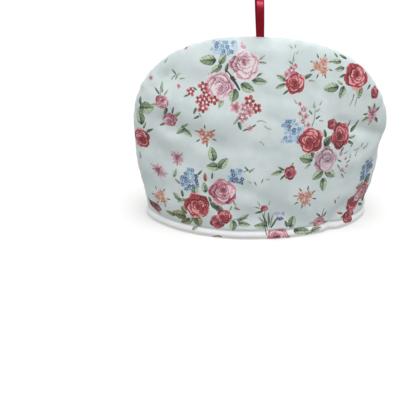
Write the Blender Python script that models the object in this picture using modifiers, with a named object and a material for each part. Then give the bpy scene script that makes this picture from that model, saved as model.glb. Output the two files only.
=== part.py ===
"""A dome-shaped tea cosy: two padded cotton panels and a ribbon hanging loop.

The cosy stands on its hem on z = 0, pulled open as it is over a pot. The front panel faces -Y
and the back panel +Y. They meet in the seam plane y = 0, along the sides and over the top,
and the hanging loop rises from the middle of that seam.
"""
import math

import bmesh
import bpy

# ---------------------------------------------------------------- driving dimensions, metres
COSY_WIDTH = 0.342            # seam to seam at the widest place
COSY_HEIGHT = 0.2532          # table to the top of the seam
HEM_WIDTH = 0.312             # seam to seam at the hem
HEM_DEPTH = 0.150             # front to back at the hem
WIDEST_HEIGHT = 0.130         # height of the widest place
SHOULDER_POWER = 2.36         # 2 is an elliptical top, more is squarer
SECTION_POWER = 0.65          # 0.5 is an elliptical section, more comes to a sharper seam
SLIMMING = 0.34               # share of its depth that the dome loses from hem to top
TOP_TILT = 0.050              # the top seam is that much lower per metre to the right

WALL = 0.0050                 # cotton, wadding and cotton together
SEAM_GAP = 0.0003             # between the two panels where they are sewn
SEAM_DIP = 0.0012             # how far the stitches draw the seam in
SEAM_DIP_REACH = 0.030        # in the dome's own units, 0 at the seam and 1 at the hem centre

HEM_HEIGHT = 0.0135           # from the table to the plain wall above the stitched hem

RIBBON_WIDTH = 0.010
RIBBON_THICKNESS = 0.0010
LOOP_HEIGHT = 0.0538          # from the seam to the top of the loop
LOOP_SWELL = 0.0105           # sets how far the two legs spread
LOOP_LEG_OFFSET = 0.0008      # half the distance of the legs where they enter the seam
LOOP_PLACE = -0.0058          # where its foot is sewn in, a little left of the middle
LOOP_LEAN = -0.07             # how far it leans to the right, per metre of height
LOOP_GAP = 0.0003             # between the ribbon's ends and the seam

COLUMNS = 38                  # faces across a panel
ROWS = 25                     # faces from the hem's stitching to the top
CROWDING = 0.85               # how much the faces draw together towards the seam, 0 to 1
LOOP_STEPS = 36               # faces along the ribbon

# The hem's section, from the table up: height, swell of the outer face, swell of the inner face
HEM_SECTION = (
    (0.0000, 0.0002, -0.0010),
    (0.0016, 0.0022, 0.0002),
    (0.0052, 0.0019, 0.0006),
    (0.0098, -0.0001, 0.0000),
    (0.0115, -0.0012, -0.0004),
)

# Folds: from x, z to x, z, the half width of the fold and its height (minus is a trough)
FRONT_FOLDS = (
    (-0.116, 0.176, -0.046, 0.152, 0.021, 0.0044),    # puffed cloth below the left shoulder
    (-0.122, 0.206, -0.074, 0.201, 0.012, -0.0032),   # soft dip above the puff
    (-0.126, 0.148, -0.046, 0.122, 0.012, -0.0040),   # long trough under the puff
    (-0.150, 0.114, -0.085, 0.096, 0.014, -0.0028),   # second trough, near the left seam
    (-0.034, 0.074, 0.028, 0.040, 0.011, -0.0028),    # third trough, lower down
    (-0.012, 0.030, 0.092, 0.015, 0.015, -0.0042),    # its wider end
    (-0.150, 0.040, -0.092, 0.034, 0.016, 0.0048),    # cloth resting on the hem, left
    (0.168, 0.122, 0.098, 0.150, 0.009, -0.0064),     # pinch that starts at the right seam
    (0.176, 0.142, 0.112, 0.158, 0.022, -0.0040),     # wide dip that the pinch lies in
    (0.166, 0.108, 0.114, 0.094, 0.011, 0.0040),      # ridge below the pinch
    (0.156, 0.084, 0.136, 0.034, 0.013, -0.0050),     # hollow at the lower right
    (0.134, 0.030, 0.104, 0.026, 0.011, -0.0034),     # foot of the hollow
    (0.096, 0.014, 0.112, 0.040, 0.006, -0.0032),     # short crease from the hem
    (-0.036, 0.240, 0.012, 0.240, 0.012, 0.0032),     # cloth drawn up at the loop's foot
    (0.049, 0.236, 0.040, 0.214, 0.010, -0.0022),     # pucker under the top seam
    (0.078, 0.236, 0.088, 0.204, 0.007, -0.0016),     # pucker beside it
    (0.004, 0.188, 0.040, 0.181, 0.009, -0.0018),     # faint dip right of the middle
)
BACK_FOLDS = (
    (0.105, 0.160, 0.040, 0.178, 0.026, 0.0040),
    (0.120, 0.120, -0.010, 0.098, 0.014, -0.0038),
    (-0.150, 0.124, -0.090, 0.150, 0.009, -0.0044),
    (-0.120, 0.050, -0.050, 0.070, 0.014, -0.0032),
    (0.100, 0.034, 0.060, 0.060, 0.010, -0.0030),
    (-0.060, 0.236, -0.070, 0.200, 0.007, -0.0018),
)

# Uneven places of the side seam: side, height, half width, how far it stands out (minus is in)
SEAM_DENTS = (
    (1, 0.196, 0.030, -0.0034),
    (1, 0.142, 0.012, 0.0012),
    (1, 0.106, 0.014, -0.0036),
    (1, 0.030, 0.012, -0.0030),
    (-1, 0.084, 0.026, 0.0026),
    (-1, 0.030, 0.016, -0.0010),
)
FOLD_TAPER = 0.45             # share of its height that a fold has lost at its far end
FOLDS_FADE_IN = 0.12          # in the dome's own units: nearer the seam the folds fade out


# ---------------------------------------------------------------- the dome's form

def seam_half_width(height, top):
    """Half the distance between the side seams at a height."""
    widest = COSY_WIDTH / 2
    if height <= WIDEST_HEIGHT:
        drop = (WIDEST_HEIGHT - height) / WIDEST_HEIGHT
        return widest - (widest - HEM_WIDTH / 2) * drop ** 1.2
    rise = min((height - WIDEST_HEIGHT) / (top - WIDEST_HEIGHT), 1.0)
    return widest * (1 - rise ** SHOULDER_POWER) ** (1 / SHOULDER_POWER)


def seam_dent(side, height):
    """How far the side seam stands out of its even curve."""
    dents = (row for row in SEAM_DENTS if row[0] == side)
    return sum(amount * math.exp(-((height - level) / reach) ** 2)
               for _, level, reach, amount in dents)


def fold_relief(x, z, folds):
    """Height of the troughs and ridges at a place of the panel."""
    relief = 0.0
    for x0, z0, x1, z1, reach, amount in folds:
        along_x, along_z = x1 - x0, z1 - z0
        share = ((x - x0) * along_x + (z - z0) * along_z) / (along_x ** 2 + along_z ** 2)
        share = min(max(share, 0.0), 1.0)
        distance = math.hypot(x - x0 - share * along_x, z - z0 - share * along_z)
        taper = 1 - FOLD_TAPER * share
        relief += amount * taper * math.exp(-(distance / reach) ** 2)
    return relief


def crowded(value):
    """Draws the grid's lines together towards the seam, where the cloth turns most."""
    return (1 - CROWDING) * value + CROWDING * math.sin(value * math.pi / 2)


def panel_point(across, up, inset, swell, facing, folds):
    """A point of a panel: across -1 to 1, up below 0 in the hem and 0 to 1 above it.

    The unit square of across and up becomes half a disc, and the half disc the dome.
    """
    u = crowded(across)
    v = crowded(max(up, 0.0))
    p = u * math.sqrt(1 - v * v / 2)
    q = v * math.sqrt(1 - u * u / 2)
    inside = max(1 - p * p - q * q, 0.0)
    draw_in = SEAM_DIP * math.exp(-inside / SEAM_DIP_REACH) if inset == 0 else 0.0

    top = COSY_HEIGHT - inset - draw_in
    z = HEM_HEIGHT + (top - HEM_HEIGHT) * q
    share = p / max(math.sqrt(1 - q * q), 1e-4)
    half_width = seam_half_width(z, top) + seam_dent(math.copysign(1, p), z)
    x = share * (half_width - inset - draw_in + swell)
    z -= TOP_TILT * x * q * q

    depth = (HEM_DEPTH / 2 - inset + swell) * (1 - SLIMMING * q) * inside ** SECTION_POWER
    depth += fold_relief(x, z, folds) * min(1.0, inside / FOLDS_FADE_IN)
    return x, facing * (SEAM_GAP / 2 + max(depth, 0.0)), z


# ---------------------------------------------------------------- building the pieces

def add_face_grid(mesh, inner, facing, folds):
    """One face of a panel, outer or inner, as a grid laid over the dome."""
    inset = WALL if inner else 0.0
    hem_rows = len(HEM_SECTION)
    rows = hem_rows + ROWS
    made = bmesh.ops.create_grid(mesh, x_segments=COLUMNS, y_segments=rows, size=1.0)
    for vert in made["verts"]:
        across = vert.co.x
        row = round((vert.co.y + 1) / 2 * rows)
        if row < hem_rows:
            height, outer_swell, inner_swell = HEM_SECTION[row]
            swell = -inner_swell if inner else outer_swell
            x, y, _ = panel_point(across, 0.0, inset, swell, facing, folds)
            vert.co = (x, y, height)
        else:
            vert.co = panel_point(across, (row - hem_rows) / ROWS, inset, 0.0, facing, folds)


def build_panel(name, facing, folds, material, collection):
    mesh = bmesh.new()
    add_face_grid(mesh, False, facing, folds)
    add_face_grid(mesh, True, facing, folds)
    rims = [edge for edge in mesh.edges if edge.is_boundary]
    bmesh.ops.bridge_loops(mesh, edges=rims)
    bmesh.ops.recalc_face_normals(mesh, faces=mesh.faces)
    return finish(name, mesh, material, collection)


def loop_point(turn):
    """The middle line of the ribbon, in y and z: turn 0 at the front leg, 1 at the back one."""
    angle = 2 * math.pi * turn
    foot = COSY_HEIGHT - SEAM_DIP + LOOP_GAP
    rise = LOOP_HEIGHT - LOOP_GAP - RIBBON_THICKNESS / 2
    spread = LOOP_SWELL * math.sin(angle) * math.sin(angle / 2) ** 1.5
    y = -spread - LOOP_LEG_OFFSET * math.cos(angle / 2)
    return y, foot + rise * (1 - math.cos(angle)) / 2


def build_loop(name, material, collection):
    mesh = bmesh.new()
    made = bmesh.ops.create_grid(mesh, x_segments=2, y_segments=LOOP_STEPS, size=1.0)
    for vert in made["verts"]:
        y, z = loop_point((vert.co.y + 1) / 2)
        x = LOOP_PLACE + vert.co.x * RIBBON_WIDTH / 2
        vert.co = (x + LOOP_LEAN * (z - COSY_HEIGHT), y, z - TOP_TILT * x)
    ribbon = finish(name, mesh, material, collection)
    wall = ribbon.modifiers.new("ribbon", "SOLIDIFY")
    wall.thickness = RIBBON_THICKNESS
    wall.offset = 0.0
    wall.use_even_offset = True
    return ribbon


def finish(name, mesh, material, collection):
    data = bpy.data.meshes.new(name)
    mesh.to_mesh(data)
    mesh.free()
    data.shade_smooth()
    data.materials.append(material)
    piece = bpy.data.objects.new(name, data)
    collection.objects.link(piece)
    return piece


def cloth_material(name, colour, roughness):
    material = bpy.data.materials.new(name)
    material.use_nodes = True
    shader = material.node_tree.nodes["Principled BSDF"]
    shader.inputs["Base Color"].default_value = (*colour, 1.0)
    shader.inputs["Roughness"].default_value = roughness
    shader.inputs["Metallic"].default_value = 0.0
    return material


def main():
    for old in list(bpy.data.objects):
        bpy.data.objects.remove(old, do_unlink=True)
    collection = bpy.data.collections.new("tea_cosy")
    bpy.context.scene.collection.children.link(collection)

    front_cotton = cloth_material("front_cotton", (0.78, 0.80, 0.77), 0.85)
    back_cotton = cloth_material("back_cotton", (0.76, 0.78, 0.75), 0.85)
    satin = cloth_material("satin", (0.33, 0.02, 0.04), 0.35)

    build_panel("front_panel", -1, FRONT_FOLDS, front_cotton, collection)
    build_panel("back_panel", 1, BACK_FOLDS, back_cotton, collection)
    build_loop("hanging_loop", satin, collection)


main()
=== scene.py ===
# %% [markdown]
# # A padded tea cosy in rose-printed cotton
#
# The cosy is two padded panels, sewn to each other round the sides and over the top, and a loop of
# satin ribbon caught in the middle of that seam. It stands open on its hem, as it does over a pot.
#
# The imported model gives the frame: the panels and the loop at their real size, as plain closed
# solids. Every piece made below stands exactly where its solid stands and adds what the solid
# leaves out, which is the fine shape of the cloth, the print, the weave, the ribbon and the sewing.

# %% Load the frame
import math

import bmesh
import bpy
import numpy as np
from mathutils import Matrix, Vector, noise


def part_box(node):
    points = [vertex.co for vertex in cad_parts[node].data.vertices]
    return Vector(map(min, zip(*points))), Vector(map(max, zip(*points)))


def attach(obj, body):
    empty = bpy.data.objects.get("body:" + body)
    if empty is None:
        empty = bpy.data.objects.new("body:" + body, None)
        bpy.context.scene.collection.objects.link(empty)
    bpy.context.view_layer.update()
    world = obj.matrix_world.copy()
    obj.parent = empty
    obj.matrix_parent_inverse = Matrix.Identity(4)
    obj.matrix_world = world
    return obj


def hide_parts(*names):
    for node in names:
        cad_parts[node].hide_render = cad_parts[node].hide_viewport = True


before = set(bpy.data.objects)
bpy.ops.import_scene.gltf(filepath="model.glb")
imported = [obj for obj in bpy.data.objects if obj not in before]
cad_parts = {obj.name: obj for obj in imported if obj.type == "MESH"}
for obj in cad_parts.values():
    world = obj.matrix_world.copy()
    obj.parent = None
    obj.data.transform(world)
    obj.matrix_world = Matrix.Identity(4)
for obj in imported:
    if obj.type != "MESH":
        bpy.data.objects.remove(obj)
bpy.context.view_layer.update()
panel_low, panel_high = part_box("front_panel")
print("nodes:", sorted(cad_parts))
print("front panel, mm:", [round(1000 * side) for side in panel_high - panel_low])

# %% [markdown]
# ## The sizes that drive everything
#
# A cosy is cut from a few numbers: how wide it is at its widest, how tall, how far the hem opens
# and how thick the wadding is. The rest follows from them. They are in metres, +Z is up, the front
# panel faces -Y and the seam lies in the plane y = 0.

# %% The cosy's sizes
COSY_WIDTH = 0.342
COSY_HEIGHT = 0.2532
HEM_WIDTH = 0.312
HEM_DEPTH = 0.150
WIDEST_HEIGHT = 0.130
SHOULDER_POWER = 2.36        # 2 is an elliptical top, more is squarer
SECTION_POWER = 0.65         # 0.5 is an elliptical section, more comes to a sharper seam
SLIMMING = 0.34              # share of its depth that the dome loses from hem to top
TOP_TILT = 0.050             # the top seam is that much lower per metre to the right
WALL = 0.0050                # cotton, wadding and cotton together
SEAM_GAP = 0.00006           # between the two panels, which the stitches pull tight
SEAM_DIP = 0.0015            # how far the stitches draw the seam in
SEAM_DIP_REACH = 0.022       # in the dome's own units, 0 at the seam and 1 at the hem centre
HEM_HEIGHT = 0.0135          # from the table to the plain wall above the stitched hem

# The hem's section, from the table up: height, swell of the outer face, swell of the inner face
HEM_SECTION = (
    (0.0000, 0.0003, -0.0010),
    (0.0006, 0.0015, -0.0002),
    (0.0014, 0.0021, 0.0002),
    (0.0021, 0.0019, 0.0003),
    (0.0026, 0.0013, 0.0005),
    (0.0032, 0.0020, 0.0007),
    (0.0043, 0.0024, 0.0007),
    (0.0058, 0.0021, 0.0005),
    (0.0075, 0.0014, 0.0002),
    (0.0091, 0.0004, -0.0001),
    (0.0104, -0.0008, -0.0005),
    (0.0113, -0.0014, -0.0005),
    (0.0122, -0.0008, -0.0002),
)
HEM_ROWS = len(HEM_SECTION)
HEM_TABLE = np.array(HEM_SECTION + ((HEM_HEIGHT, 0.0, 0.0),))    # with the plain wall's first row
STITCH_ROW = 11              # the row of that section where the hem is stitched
print("cosy, mm:", round(1000 * COSY_WIDTH), "wide and", round(1000 * COSY_HEIGHT), "tall")

# %% [markdown]
# ## The dome's form
#
# Cloth over wadding has no flat places and no exact curves. It could be simulated, but a simulation
# forgets the outline it started from. Here the dome is a formula: a seam curve seen from the front,
# a cushion-like section from seam to seam, and a table of folds, each a soft trough or ridge along
# a short line. The formulas work on whole arrays, so that one call places a complete grid.

# %% Folds and dents
# Folds: from x, z to x, z, the half width of the fold and its height (minus is a trough)
FRONT_FOLDS = (
    (-0.116, 0.176, -0.046, 0.152, 0.021, 0.0044),    # puffed cloth below the left shoulder
    (-0.122, 0.206, -0.074, 0.201, 0.012, -0.0032),   # soft dip above the puff
    (-0.126, 0.148, -0.046, 0.122, 0.012, -0.0040),   # long trough under the puff
    (-0.150, 0.114, -0.085, 0.096, 0.014, -0.0028),   # second trough, near the left seam
    (-0.034, 0.074, 0.028, 0.040, 0.011, -0.0028),    # third trough, lower down
    (-0.012, 0.030, 0.092, 0.015, 0.015, -0.0042),    # its wider end
    (-0.150, 0.040, -0.092, 0.034, 0.016, 0.0048),    # cloth resting on the hem, left
    (0.168, 0.122, 0.098, 0.150, 0.009, -0.0064),     # pinch that starts at the right seam
    (0.176, 0.142, 0.112, 0.158, 0.022, -0.0040),     # wide dip that the pinch lies in
    (0.166, 0.108, 0.114, 0.094, 0.011, 0.0040),      # ridge below the pinch
    (0.156, 0.084, 0.136, 0.034, 0.013, -0.0050),     # hollow at the lower right
    (0.134, 0.030, 0.104, 0.026, 0.011, -0.0034),     # foot of the hollow
    (0.096, 0.014, 0.112, 0.040, 0.006, -0.0032),     # short crease from the hem
    (-0.036, 0.240, 0.012, 0.240, 0.012, 0.0032),     # cloth drawn up at the loop's foot
    (0.049, 0.236, 0.040, 0.214, 0.010, -0.0022),     # pucker under the top seam
    (0.078, 0.236, 0.088, 0.204, 0.007, -0.0016),     # pucker beside it
    (0.004, 0.188, 0.040, 0.181, 0.009, -0.0018),     # faint dip right of the middle
)
FRONT_CREASES = (
    (0.128, 0.203, 0.168, 0.180, 0.018, 0.0024),      # cloth drawn over the right shoulder
    (-0.166, 0.186, -0.128, 0.193, 0.006, -0.0013),   # short lines in from the left seam
    (-0.160, 0.170, -0.134, 0.182, 0.006, -0.0010),
    (-0.122, 0.138, -0.088, 0.142, 0.006, -0.0011),
    (0.060, 0.196, 0.090, 0.176, 0.007, -0.0011),     # handling marks on the flat of the wall
    (0.010, 0.160, 0.030, 0.148, 0.006, -0.0009),
    (-0.020, 0.124, 0.020, 0.118, 0.008, -0.0011),
    (0.060, 0.046, 0.090, 0.036, 0.008, -0.0012),
)
BACK_FOLDS = (
    (0.105, 0.160, 0.040, 0.178, 0.026, 0.0040),
    (0.120, 0.120, -0.010, 0.098, 0.014, -0.0038),
    (-0.150, 0.124, -0.090, 0.150, 0.009, -0.0044),
    (-0.120, 0.050, -0.050, 0.070, 0.014, -0.0032),
    (0.100, 0.034, 0.060, 0.060, 0.010, -0.0030),
    (-0.060, 0.236, -0.070, 0.200, 0.007, -0.0018),
)
# Dents of the side seam: side, height, half width, how far it stands out (minus is in)
SEAM_DENTS = (
    (1, 0.196, 0.030, -0.0034),
    (1, 0.142, 0.012, 0.0012),
    (1, 0.106, 0.014, -0.0036),
    (1, 0.030, 0.012, -0.0030),
    (-1, 0.084, 0.026, 0.0026),
    (-1, 0.030, 0.016, -0.0010),
)
FOLD_TAPER = 0.45            # share of its height that a fold has lost at its far end
FOLDS_FADE_IN = 0.12         # in the dome's own units: nearer the seam the folds fade out
print("folds:", len(FRONT_FOLDS), "and", len(FRONT_CREASES), "creases in front,",
      len(BACK_FOLDS), "behind")


# %% The formulas
HEM_FLARE_POWER = 1.2        # how soon the sides come in below the widest place


def seam_half_width(height, top):
    """Half the distance between the side seams at a height."""
    widest = COSY_WIDTH / 2
    drop = np.clip((WIDEST_HEIGHT - height) / WIDEST_HEIGHT, 0, 1)
    rise = np.clip((height - WIDEST_HEIGHT) / (top - WIDEST_HEIGHT), 0, 1)
    below = widest - (widest - HEM_WIDTH / 2) * drop ** HEM_FLARE_POWER
    above = widest * (1 - rise ** SHOULDER_POWER) ** (1 / SHOULDER_POWER)
    return np.where(height < WIDEST_HEIGHT, below, above)


def seam_dent(side, height):
    """How far the side seam stands out of its even curve."""
    out = np.zeros_like(height)
    for dented, level, reach, amount in SEAM_DENTS:
        out += (side == dented) * amount * np.exp(-((height - level) / reach) ** 2)
    return out


def fold_relief(x, z, folds):
    """Height of the troughs and ridges at places of a panel."""
    relief = np.zeros_like(x)
    for x0, z0, x1, z1, reach, amount in folds:
        along_x = x1 - x0
        along_z = z1 - z0
        share = ((x - x0) * along_x + (z - z0) * along_z) / (along_x ** 2 + along_z ** 2)
        share = np.clip(share, 0, 1)
        distance = np.hypot(x - x0 - share * along_x, z - z0 - share * along_z)
        relief += amount * (1 - FOLD_TAPER * share) * np.exp(-(distance / reach) ** 2)
    return relief


def dome(p, q, inset, swell, folds):
    """x, depth and z of a panel. p and q run over half a disc: p across, q up from the hem."""
    inside = np.clip(1 - p * p - q * q, 0, 1)
    draw_in = SEAM_DIP * np.exp(-inside / SEAM_DIP_REACH) if inset == 0 else 0.0
    top = COSY_HEIGHT - inset - draw_in
    z = HEM_HEIGHT + (top - HEM_HEIGHT) * q
    share = p / np.maximum(np.sqrt(np.maximum(1 - q * q, 0)), 1e-4)
    half_width = seam_half_width(z, top) + seam_dent(np.sign(p), z)
    x = share * (half_width - inset - draw_in + swell)
    z = z - TOP_TILT * x * q * q
    depth = (HEM_DEPTH / 2 - inset + swell) * (1 - SLIMMING * q) * inside ** SECTION_POWER
    depth += fold_relief(x, z, folds) * np.minimum(1, inside / FOLDS_FADE_IN)
    return x, np.maximum(depth, 0), z


# %% [markdown]
# ## One panel as a mesh
#
# A grid is laid over the square -1 to 1. Its lowest rows become the hem's section, and the rest is
# drawn into the half disc that the dome's formula reads. The same is done for the inner face, and
# `bridge_loops` closes the two rims along the hem and the seam. That keeps every face a neat four
# sided one, and the grid's lines can be crowded towards the seam, where cloth turns most.

# %% The grid
COLUMNS = 200
ROWS = 150
CROWDING = 0.55              # how much the grid's lines draw together towards the seam, 0 to 1


def crowded(value):
    """A grid line's place, drawn towards the ends -1 and 1."""
    return (1 - CROWDING) * value + CROWDING * np.sin(value * math.pi / 2)


def face_grid(mesh):
    """Adds a flat grid and returns its vertices, with their column -1 to 1 and their row."""
    rows = HEM_ROWS + ROWS
    verts = bmesh.ops.create_grid(mesh, x_segments=COLUMNS, y_segments=rows, size=1.0)["verts"]
    across = np.array([vert.co.x for vert in verts])
    row = np.rint((np.array([vert.co.y for vert in verts]) + 1) / 2 * rows).astype(int)
    return verts, across, row


def disc_places(across, row):
    """p and q of the grid's vertices. The hem's rows all stand on q = 0."""
    u = crowded(across)
    v = crowded(np.clip((row - HEM_ROWS) / ROWS, 0, 1))
    return u * np.sqrt(1 - v * v / 2), v * np.sqrt(1 - u * u / 2)


# %% [markdown]
# ## What the wadding and the thread do to the surface
#
# Wadding is never even, so the panel gets a slow swell of about a millimetre, and the cotton over it
# has a finer unevenness of its own. The seam's stitches gather the cloth a little, which shows as
# short puckers that start at the seam and die out within two or three centimetres. The hem's
# stitches do the same on a smaller scale. All of this pushes the surface along its own normal,
# which is why the grid is placed first and puckered second.

# %% Padding and puckers
PAD_LENGTH = 0.052           # length of the wadding's slow swell
PAD_HEIGHT = 0.0011
CREASE_LENGTH = 0.019        # the smaller unevenness of the cotton over it
CREASE_HEIGHT = 0.00034
PUCKER_LENGTH = 0.0085       # from one seam pucker to the next
PUCKER_HEIGHT = 0.0010
PUCKER_REACH = 0.085         # in the dome's own units
# Broad and fine seam puckers: share of the height, pitch, change inwards, pattern
PUCKERS = ((1.0, 1.0, 2.2, 0.0), (0.5, 1.9, 4.0, 4.7))
MEAN_RADIUS = 0.185          # of the seam, to turn an angle into a length along it
HEM_PUCKER_LENGTH = 0.0065
HEM_PUCKER_HEIGHT = 0.00045
HEM_PUCKER_ROWS = 5.0        # how many rows of the grid a hem pucker reaches
HEM_PUCKER_SLANT = 0.3
SWELL_FADE_IN = 0.05         # in the dome's own units: nearer the seam the swell fades out
PATTERN = 11.3               # a number for the noise: another one gives another swell
PATTERN_STEP = 5.0           # so that the two panels differ
HEM_PATTERN = 8.1


def noise_at(*axes):
    """Smooth noise, about -1 to 1, at arrays of places. A plain number serves as an axis too."""
    return np.array([noise.noise(Vector(place)) for place in zip(*np.broadcast_arrays(*axes))])


def cloth_swell(x, z, p, q, row, side):
    """How far each vertex of an outer face is pushed out."""
    inside = np.clip(1 - p * p - q * q, 0, 1)
    pattern = PATTERN + PATTERN_STEP * side
    free = 1 - np.exp(-inside / SWELL_FADE_IN)
    swell = PAD_HEIGHT * free * noise_at(x / PAD_LENGTH, z / PAD_LENGTH, pattern)
    for finer in (1, 2):
        length = CREASE_LENGTH / finer
        swell += CREASE_HEIGHT / finer * free * noise_at(x / length, z / length, pattern)
    along = np.arctan2(q, p) * MEAN_RADIUS
    pucker = 0.0
    for share, pitch, inwards, seam_pattern in PUCKERS:
        step = along / PUCKER_LENGTH * pitch
        pucker += share * noise_at(step, inside * inwards, seam_pattern)
    swell += PUCKER_HEIGHT * np.exp(-inside / PUCKER_REACH) * pucker * (row > HEM_ROWS)
    level = (row - STITCH_ROW) / HEM_PUCKER_ROWS
    hem = noise_at(x / HEM_PUCKER_LENGTH, level * HEM_PUCKER_SLANT, pattern + HEM_PATTERN)
    return swell + HEM_PUCKER_HEIGHT * np.exp(-level ** 2) * free * hem


# %% Build a panel
def place_face(verts, across, row, inner, facing, folds):
    """Moves a grid's vertices to the outer or the inner face of a panel."""
    p, q = disc_places(across, row)
    level, outer_swell, inner_swell = HEM_TABLE[np.minimum(row, HEM_ROWS)].T
    inset = WALL if inner else 0.0
    swell = -inner_swell if inner else outer_swell
    x, depth, z = dome(p, q, inset, swell, folds)
    z = np.where(row < HEM_ROWS, level, z)
    for vert, place in zip(verts, zip(x, facing * (SEAM_GAP / 2 + depth), z)):
        vert.co = place
    return x, z, p, q


def panel_mesh(facing, folds):
    """A bmesh with both faces of a panel and the vertices of each with their grid places."""
    mesh = bmesh.new()
    faces = []
    for inner in (False, True):
        verts, across, row = face_grid(mesh)
        x, z, p, q = place_face(verts, across, row, inner, facing, folds)
        faces.append((verts, p, q, row))
        if not inner:
            mesh.normal_update()
            push = cloth_swell(x, z, p, q, row, facing)
            for vert, amount, level in zip(verts, push, row):
                vert.co -= facing * vert.normal * amount
                vert.co.z = max(vert.co.z, 0.0) if level else 0.0
                if vert.is_boundary and level or vert.co.y * facing < SEAM_GAP / 2:
                    vert.co.y = facing * SEAM_GAP / 2
    return mesh, faces


# %% [markdown]
# ## Laying the cloth flat
#
# The print was on the cotton before the cosy was sewn, so it has to lie in the cloth's own flat
# measure and bend with it. Each panel is unrolled from a middle point: a place's distance is
# measured along the padded surface, and its direction is kept. That is how a map of the globe is
# drawn round its pole. It keeps sizes true enough for flowers, and it needs no cuts.

# %% Flat places, in metres from the middle of the hem
MIDDLE_Q = 0.42              # the middle point's height on the dome, 0 at the hem and 1 at the top
FLAT_STEPS = 40
JUST_INSIDE = 0.0001         # leaves the seam's dip out of the measure


def flat_places(p, q):
    """Places on the flat cloth: to the right, and up."""
    reach = np.zeros_like(p)
    for step in range(FLAT_STEPS + 1):
        part = math.sin(step / FLAT_STEPS * math.pi / 2)
        x, depth, z = dome(p * part, MIDDLE_Q + (q - MIDDLE_Q) * part, JUST_INSIDE, 0.0, ())
        place = np.stack([x, depth, z], -1)
        if step == 0:
            first = place
        else:
            reach += np.linalg.norm(place - last, axis=-1)
        last = place
    angle = np.arctan2(last[:, 2] - first[:, 2], last[:, 0] - first[:, 0])
    return reach * np.cos(angle), first[:, 2] + reach * np.sin(angle)


def below_hem(row):
    """How far below the stitching the hem's rows lie on the flat cloth."""
    return HEM_HEIGHT - HEM_TABLE[np.minimum(row, HEM_ROWS), 0]


# %% [markdown]
# ## The print as a list of motifs
#
# Rose-sprig cotton has full roses, single five-petalled flowers, dense clusters of tiny ones, leaves
# and thin stems, strewn over a pale ground. An image could hold that, but here nothing is painted:
# each motif is one row of a table, and the material draws it from its own centre, so it stays sharp
# at any distance.
#
# Every row is in millimetres on the flat cloth, with 0, 0 at the middle of the hem, just under 2 mm
# above its lower edge. Angles are in degrees, 0 points right and 90 up. A leaf's turn is where its
# tip points.

# %% Colour numbers
RED, PINK, PALE, WINE_AND_PAINTED_SHADE, CRIMSON, PALE_IN_PAINTED_SHADE = range(6)         # roses
CLARET, BLUSH, MAUVE, CORAL, STAR, AMBER = range(6)      # single flowers, the last two with 8 petals
BLUE, PALE_BLUE, DEEP_BLUE, VIOLET = range(4)            # clusters
GREEN, DARK, SAGE, RUST, OLIVE, BARK = range(6)          # leaves, buds and stems

# %% Motifs of the front panel
FRONT_ROSES = (
    # across, up, radius, width share, turn, colour
    (-27, 228, 21.0, 1.00, 20, PALE),
    (-59, 202, 19.0, 1.00, 230, PALE),
    (40, 205, 14.5, 0.95, 60, RED),
    (124, 210, 19.0, 1.00, 330, RED),
    (153, 186, 9.5, 0.80, 80, CRIMSON),
    (61, 132, 17.5, 1.00, 110, RED),
    (102, 134, 18.0, 0.80, 80, CRIMSON),
    (90, 150, 7.5, 1.00, 40, CRIMSON),
    # this pale rose gets a greyer ink: painted shade
    (82, 105, 17.5, 1.00, 300, PALE_IN_PAINTED_SHADE),
    (35, 92, 10.0, 0.85, 80, CRIMSON),
    (-134, 178, 10.5, 0.90, 15, PINK),
    (-123, 155, 11.0, 0.95, 210, PINK),
    (-167, 123, 15.5, 1.00, 160, RED),
    (-52, 65, 19.5, 1.00, 30, PINK),
    (-86, 43, 18.5, 1.00, 280, RED),
    (-50, 31, 11.0, 1.00, 100, RED),
    (-59, 22, 10.5, 1.00, 190, CRIMSON),
    # a deep red bud, whose ink is darkened further as painted shade
    (-151, 21, 14.0, 0.55, 0, WINE_AND_PAINTED_SHADE),
    (3, 43, 5.5, 0.85, 0, RED),
    (24, -3, 17.5, 1.05, 40, PINK),
    (127, 12, 10.5, 1.00, 60, CRIMSON),
    (150, 40, 16.0, 1.00, 240, PINK),
    (136, 30, 15.0, 1.00, 20, CRIMSON),
    (80, 17, 8.5, 1.05, 320, PINK),
    (-29, 253, 5.8, 0.62, 95, PALE),
)
FRONT_BLOOMS = (
    # across, up, radius, turn, colour
    (-80, 200, 6.8, 10, CLARET),
    (-76, 190, 6.6, 40, CLARET),
    (-84, 184, 6.4, 75, CLARET),
    (-75, 181, 6.0, 15, CLARET),
    (-80, 174, 6.8, 20, CLARET),
    (-66, 184, 6.8, 60, CLARET),
    (-96, 193, 5.8, 0, CLARET),
    (-20, 184, 7.8, 15, CLARET),
    (-11, 175, 7.2, 50, CLARET),
    (-26, 176, 7.0, 30, MAUVE),
    (-38, 176, 8.0, 0, BLUSH),
    (-29, 164, 8.0, 45, MAUVE),
    (-20, 170, 6.5, 20, BLUSH),
    (-19, 150, 4.5, 0, BLUSH),
    (35, 221, 6.5, 10, MAUVE),
    (28, 216, 5.0, 50, BLUSH),
    (40, 226, 4.0, 30, BLUSH),
    (-113, 106, 9.5, 10, STAR),
    (-112, 102, 8.5, 32, STAR),
    (-141, 83, 10.5, 40, STAR),
    (-137, 81, 9.0, 18, STAR),
    (150, 158, 10.0, 25, STAR),
    (148, 153, 8.5, 3, STAR),
    (46, 179, 3.6, 0, BLUSH),
    (51, 172, 4.4, 20, MAUVE),
    (46, 167, 3.6, 50, BLUSH),
    (54, 163, 4.4, 10, BLUSH),
    (50, 157, 3.6, 40, MAUVE),
    (57, 152, 3.8, 30, BLUSH),
    (104, 110, 3.4, 0, MAUVE),
    (112, 103, 2.8, 30, BLUSH),
    (107, 88, 3.6, 20, MAUVE),
    (114, 93, 2.8, 50, BLUSH),
    (-112, 199, 3.4, 0, BLUSH),
    (-106, 249, 3.6, 0, BLUSH),
    (-151, 207, 4.4, 20, STAR),
)
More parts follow.
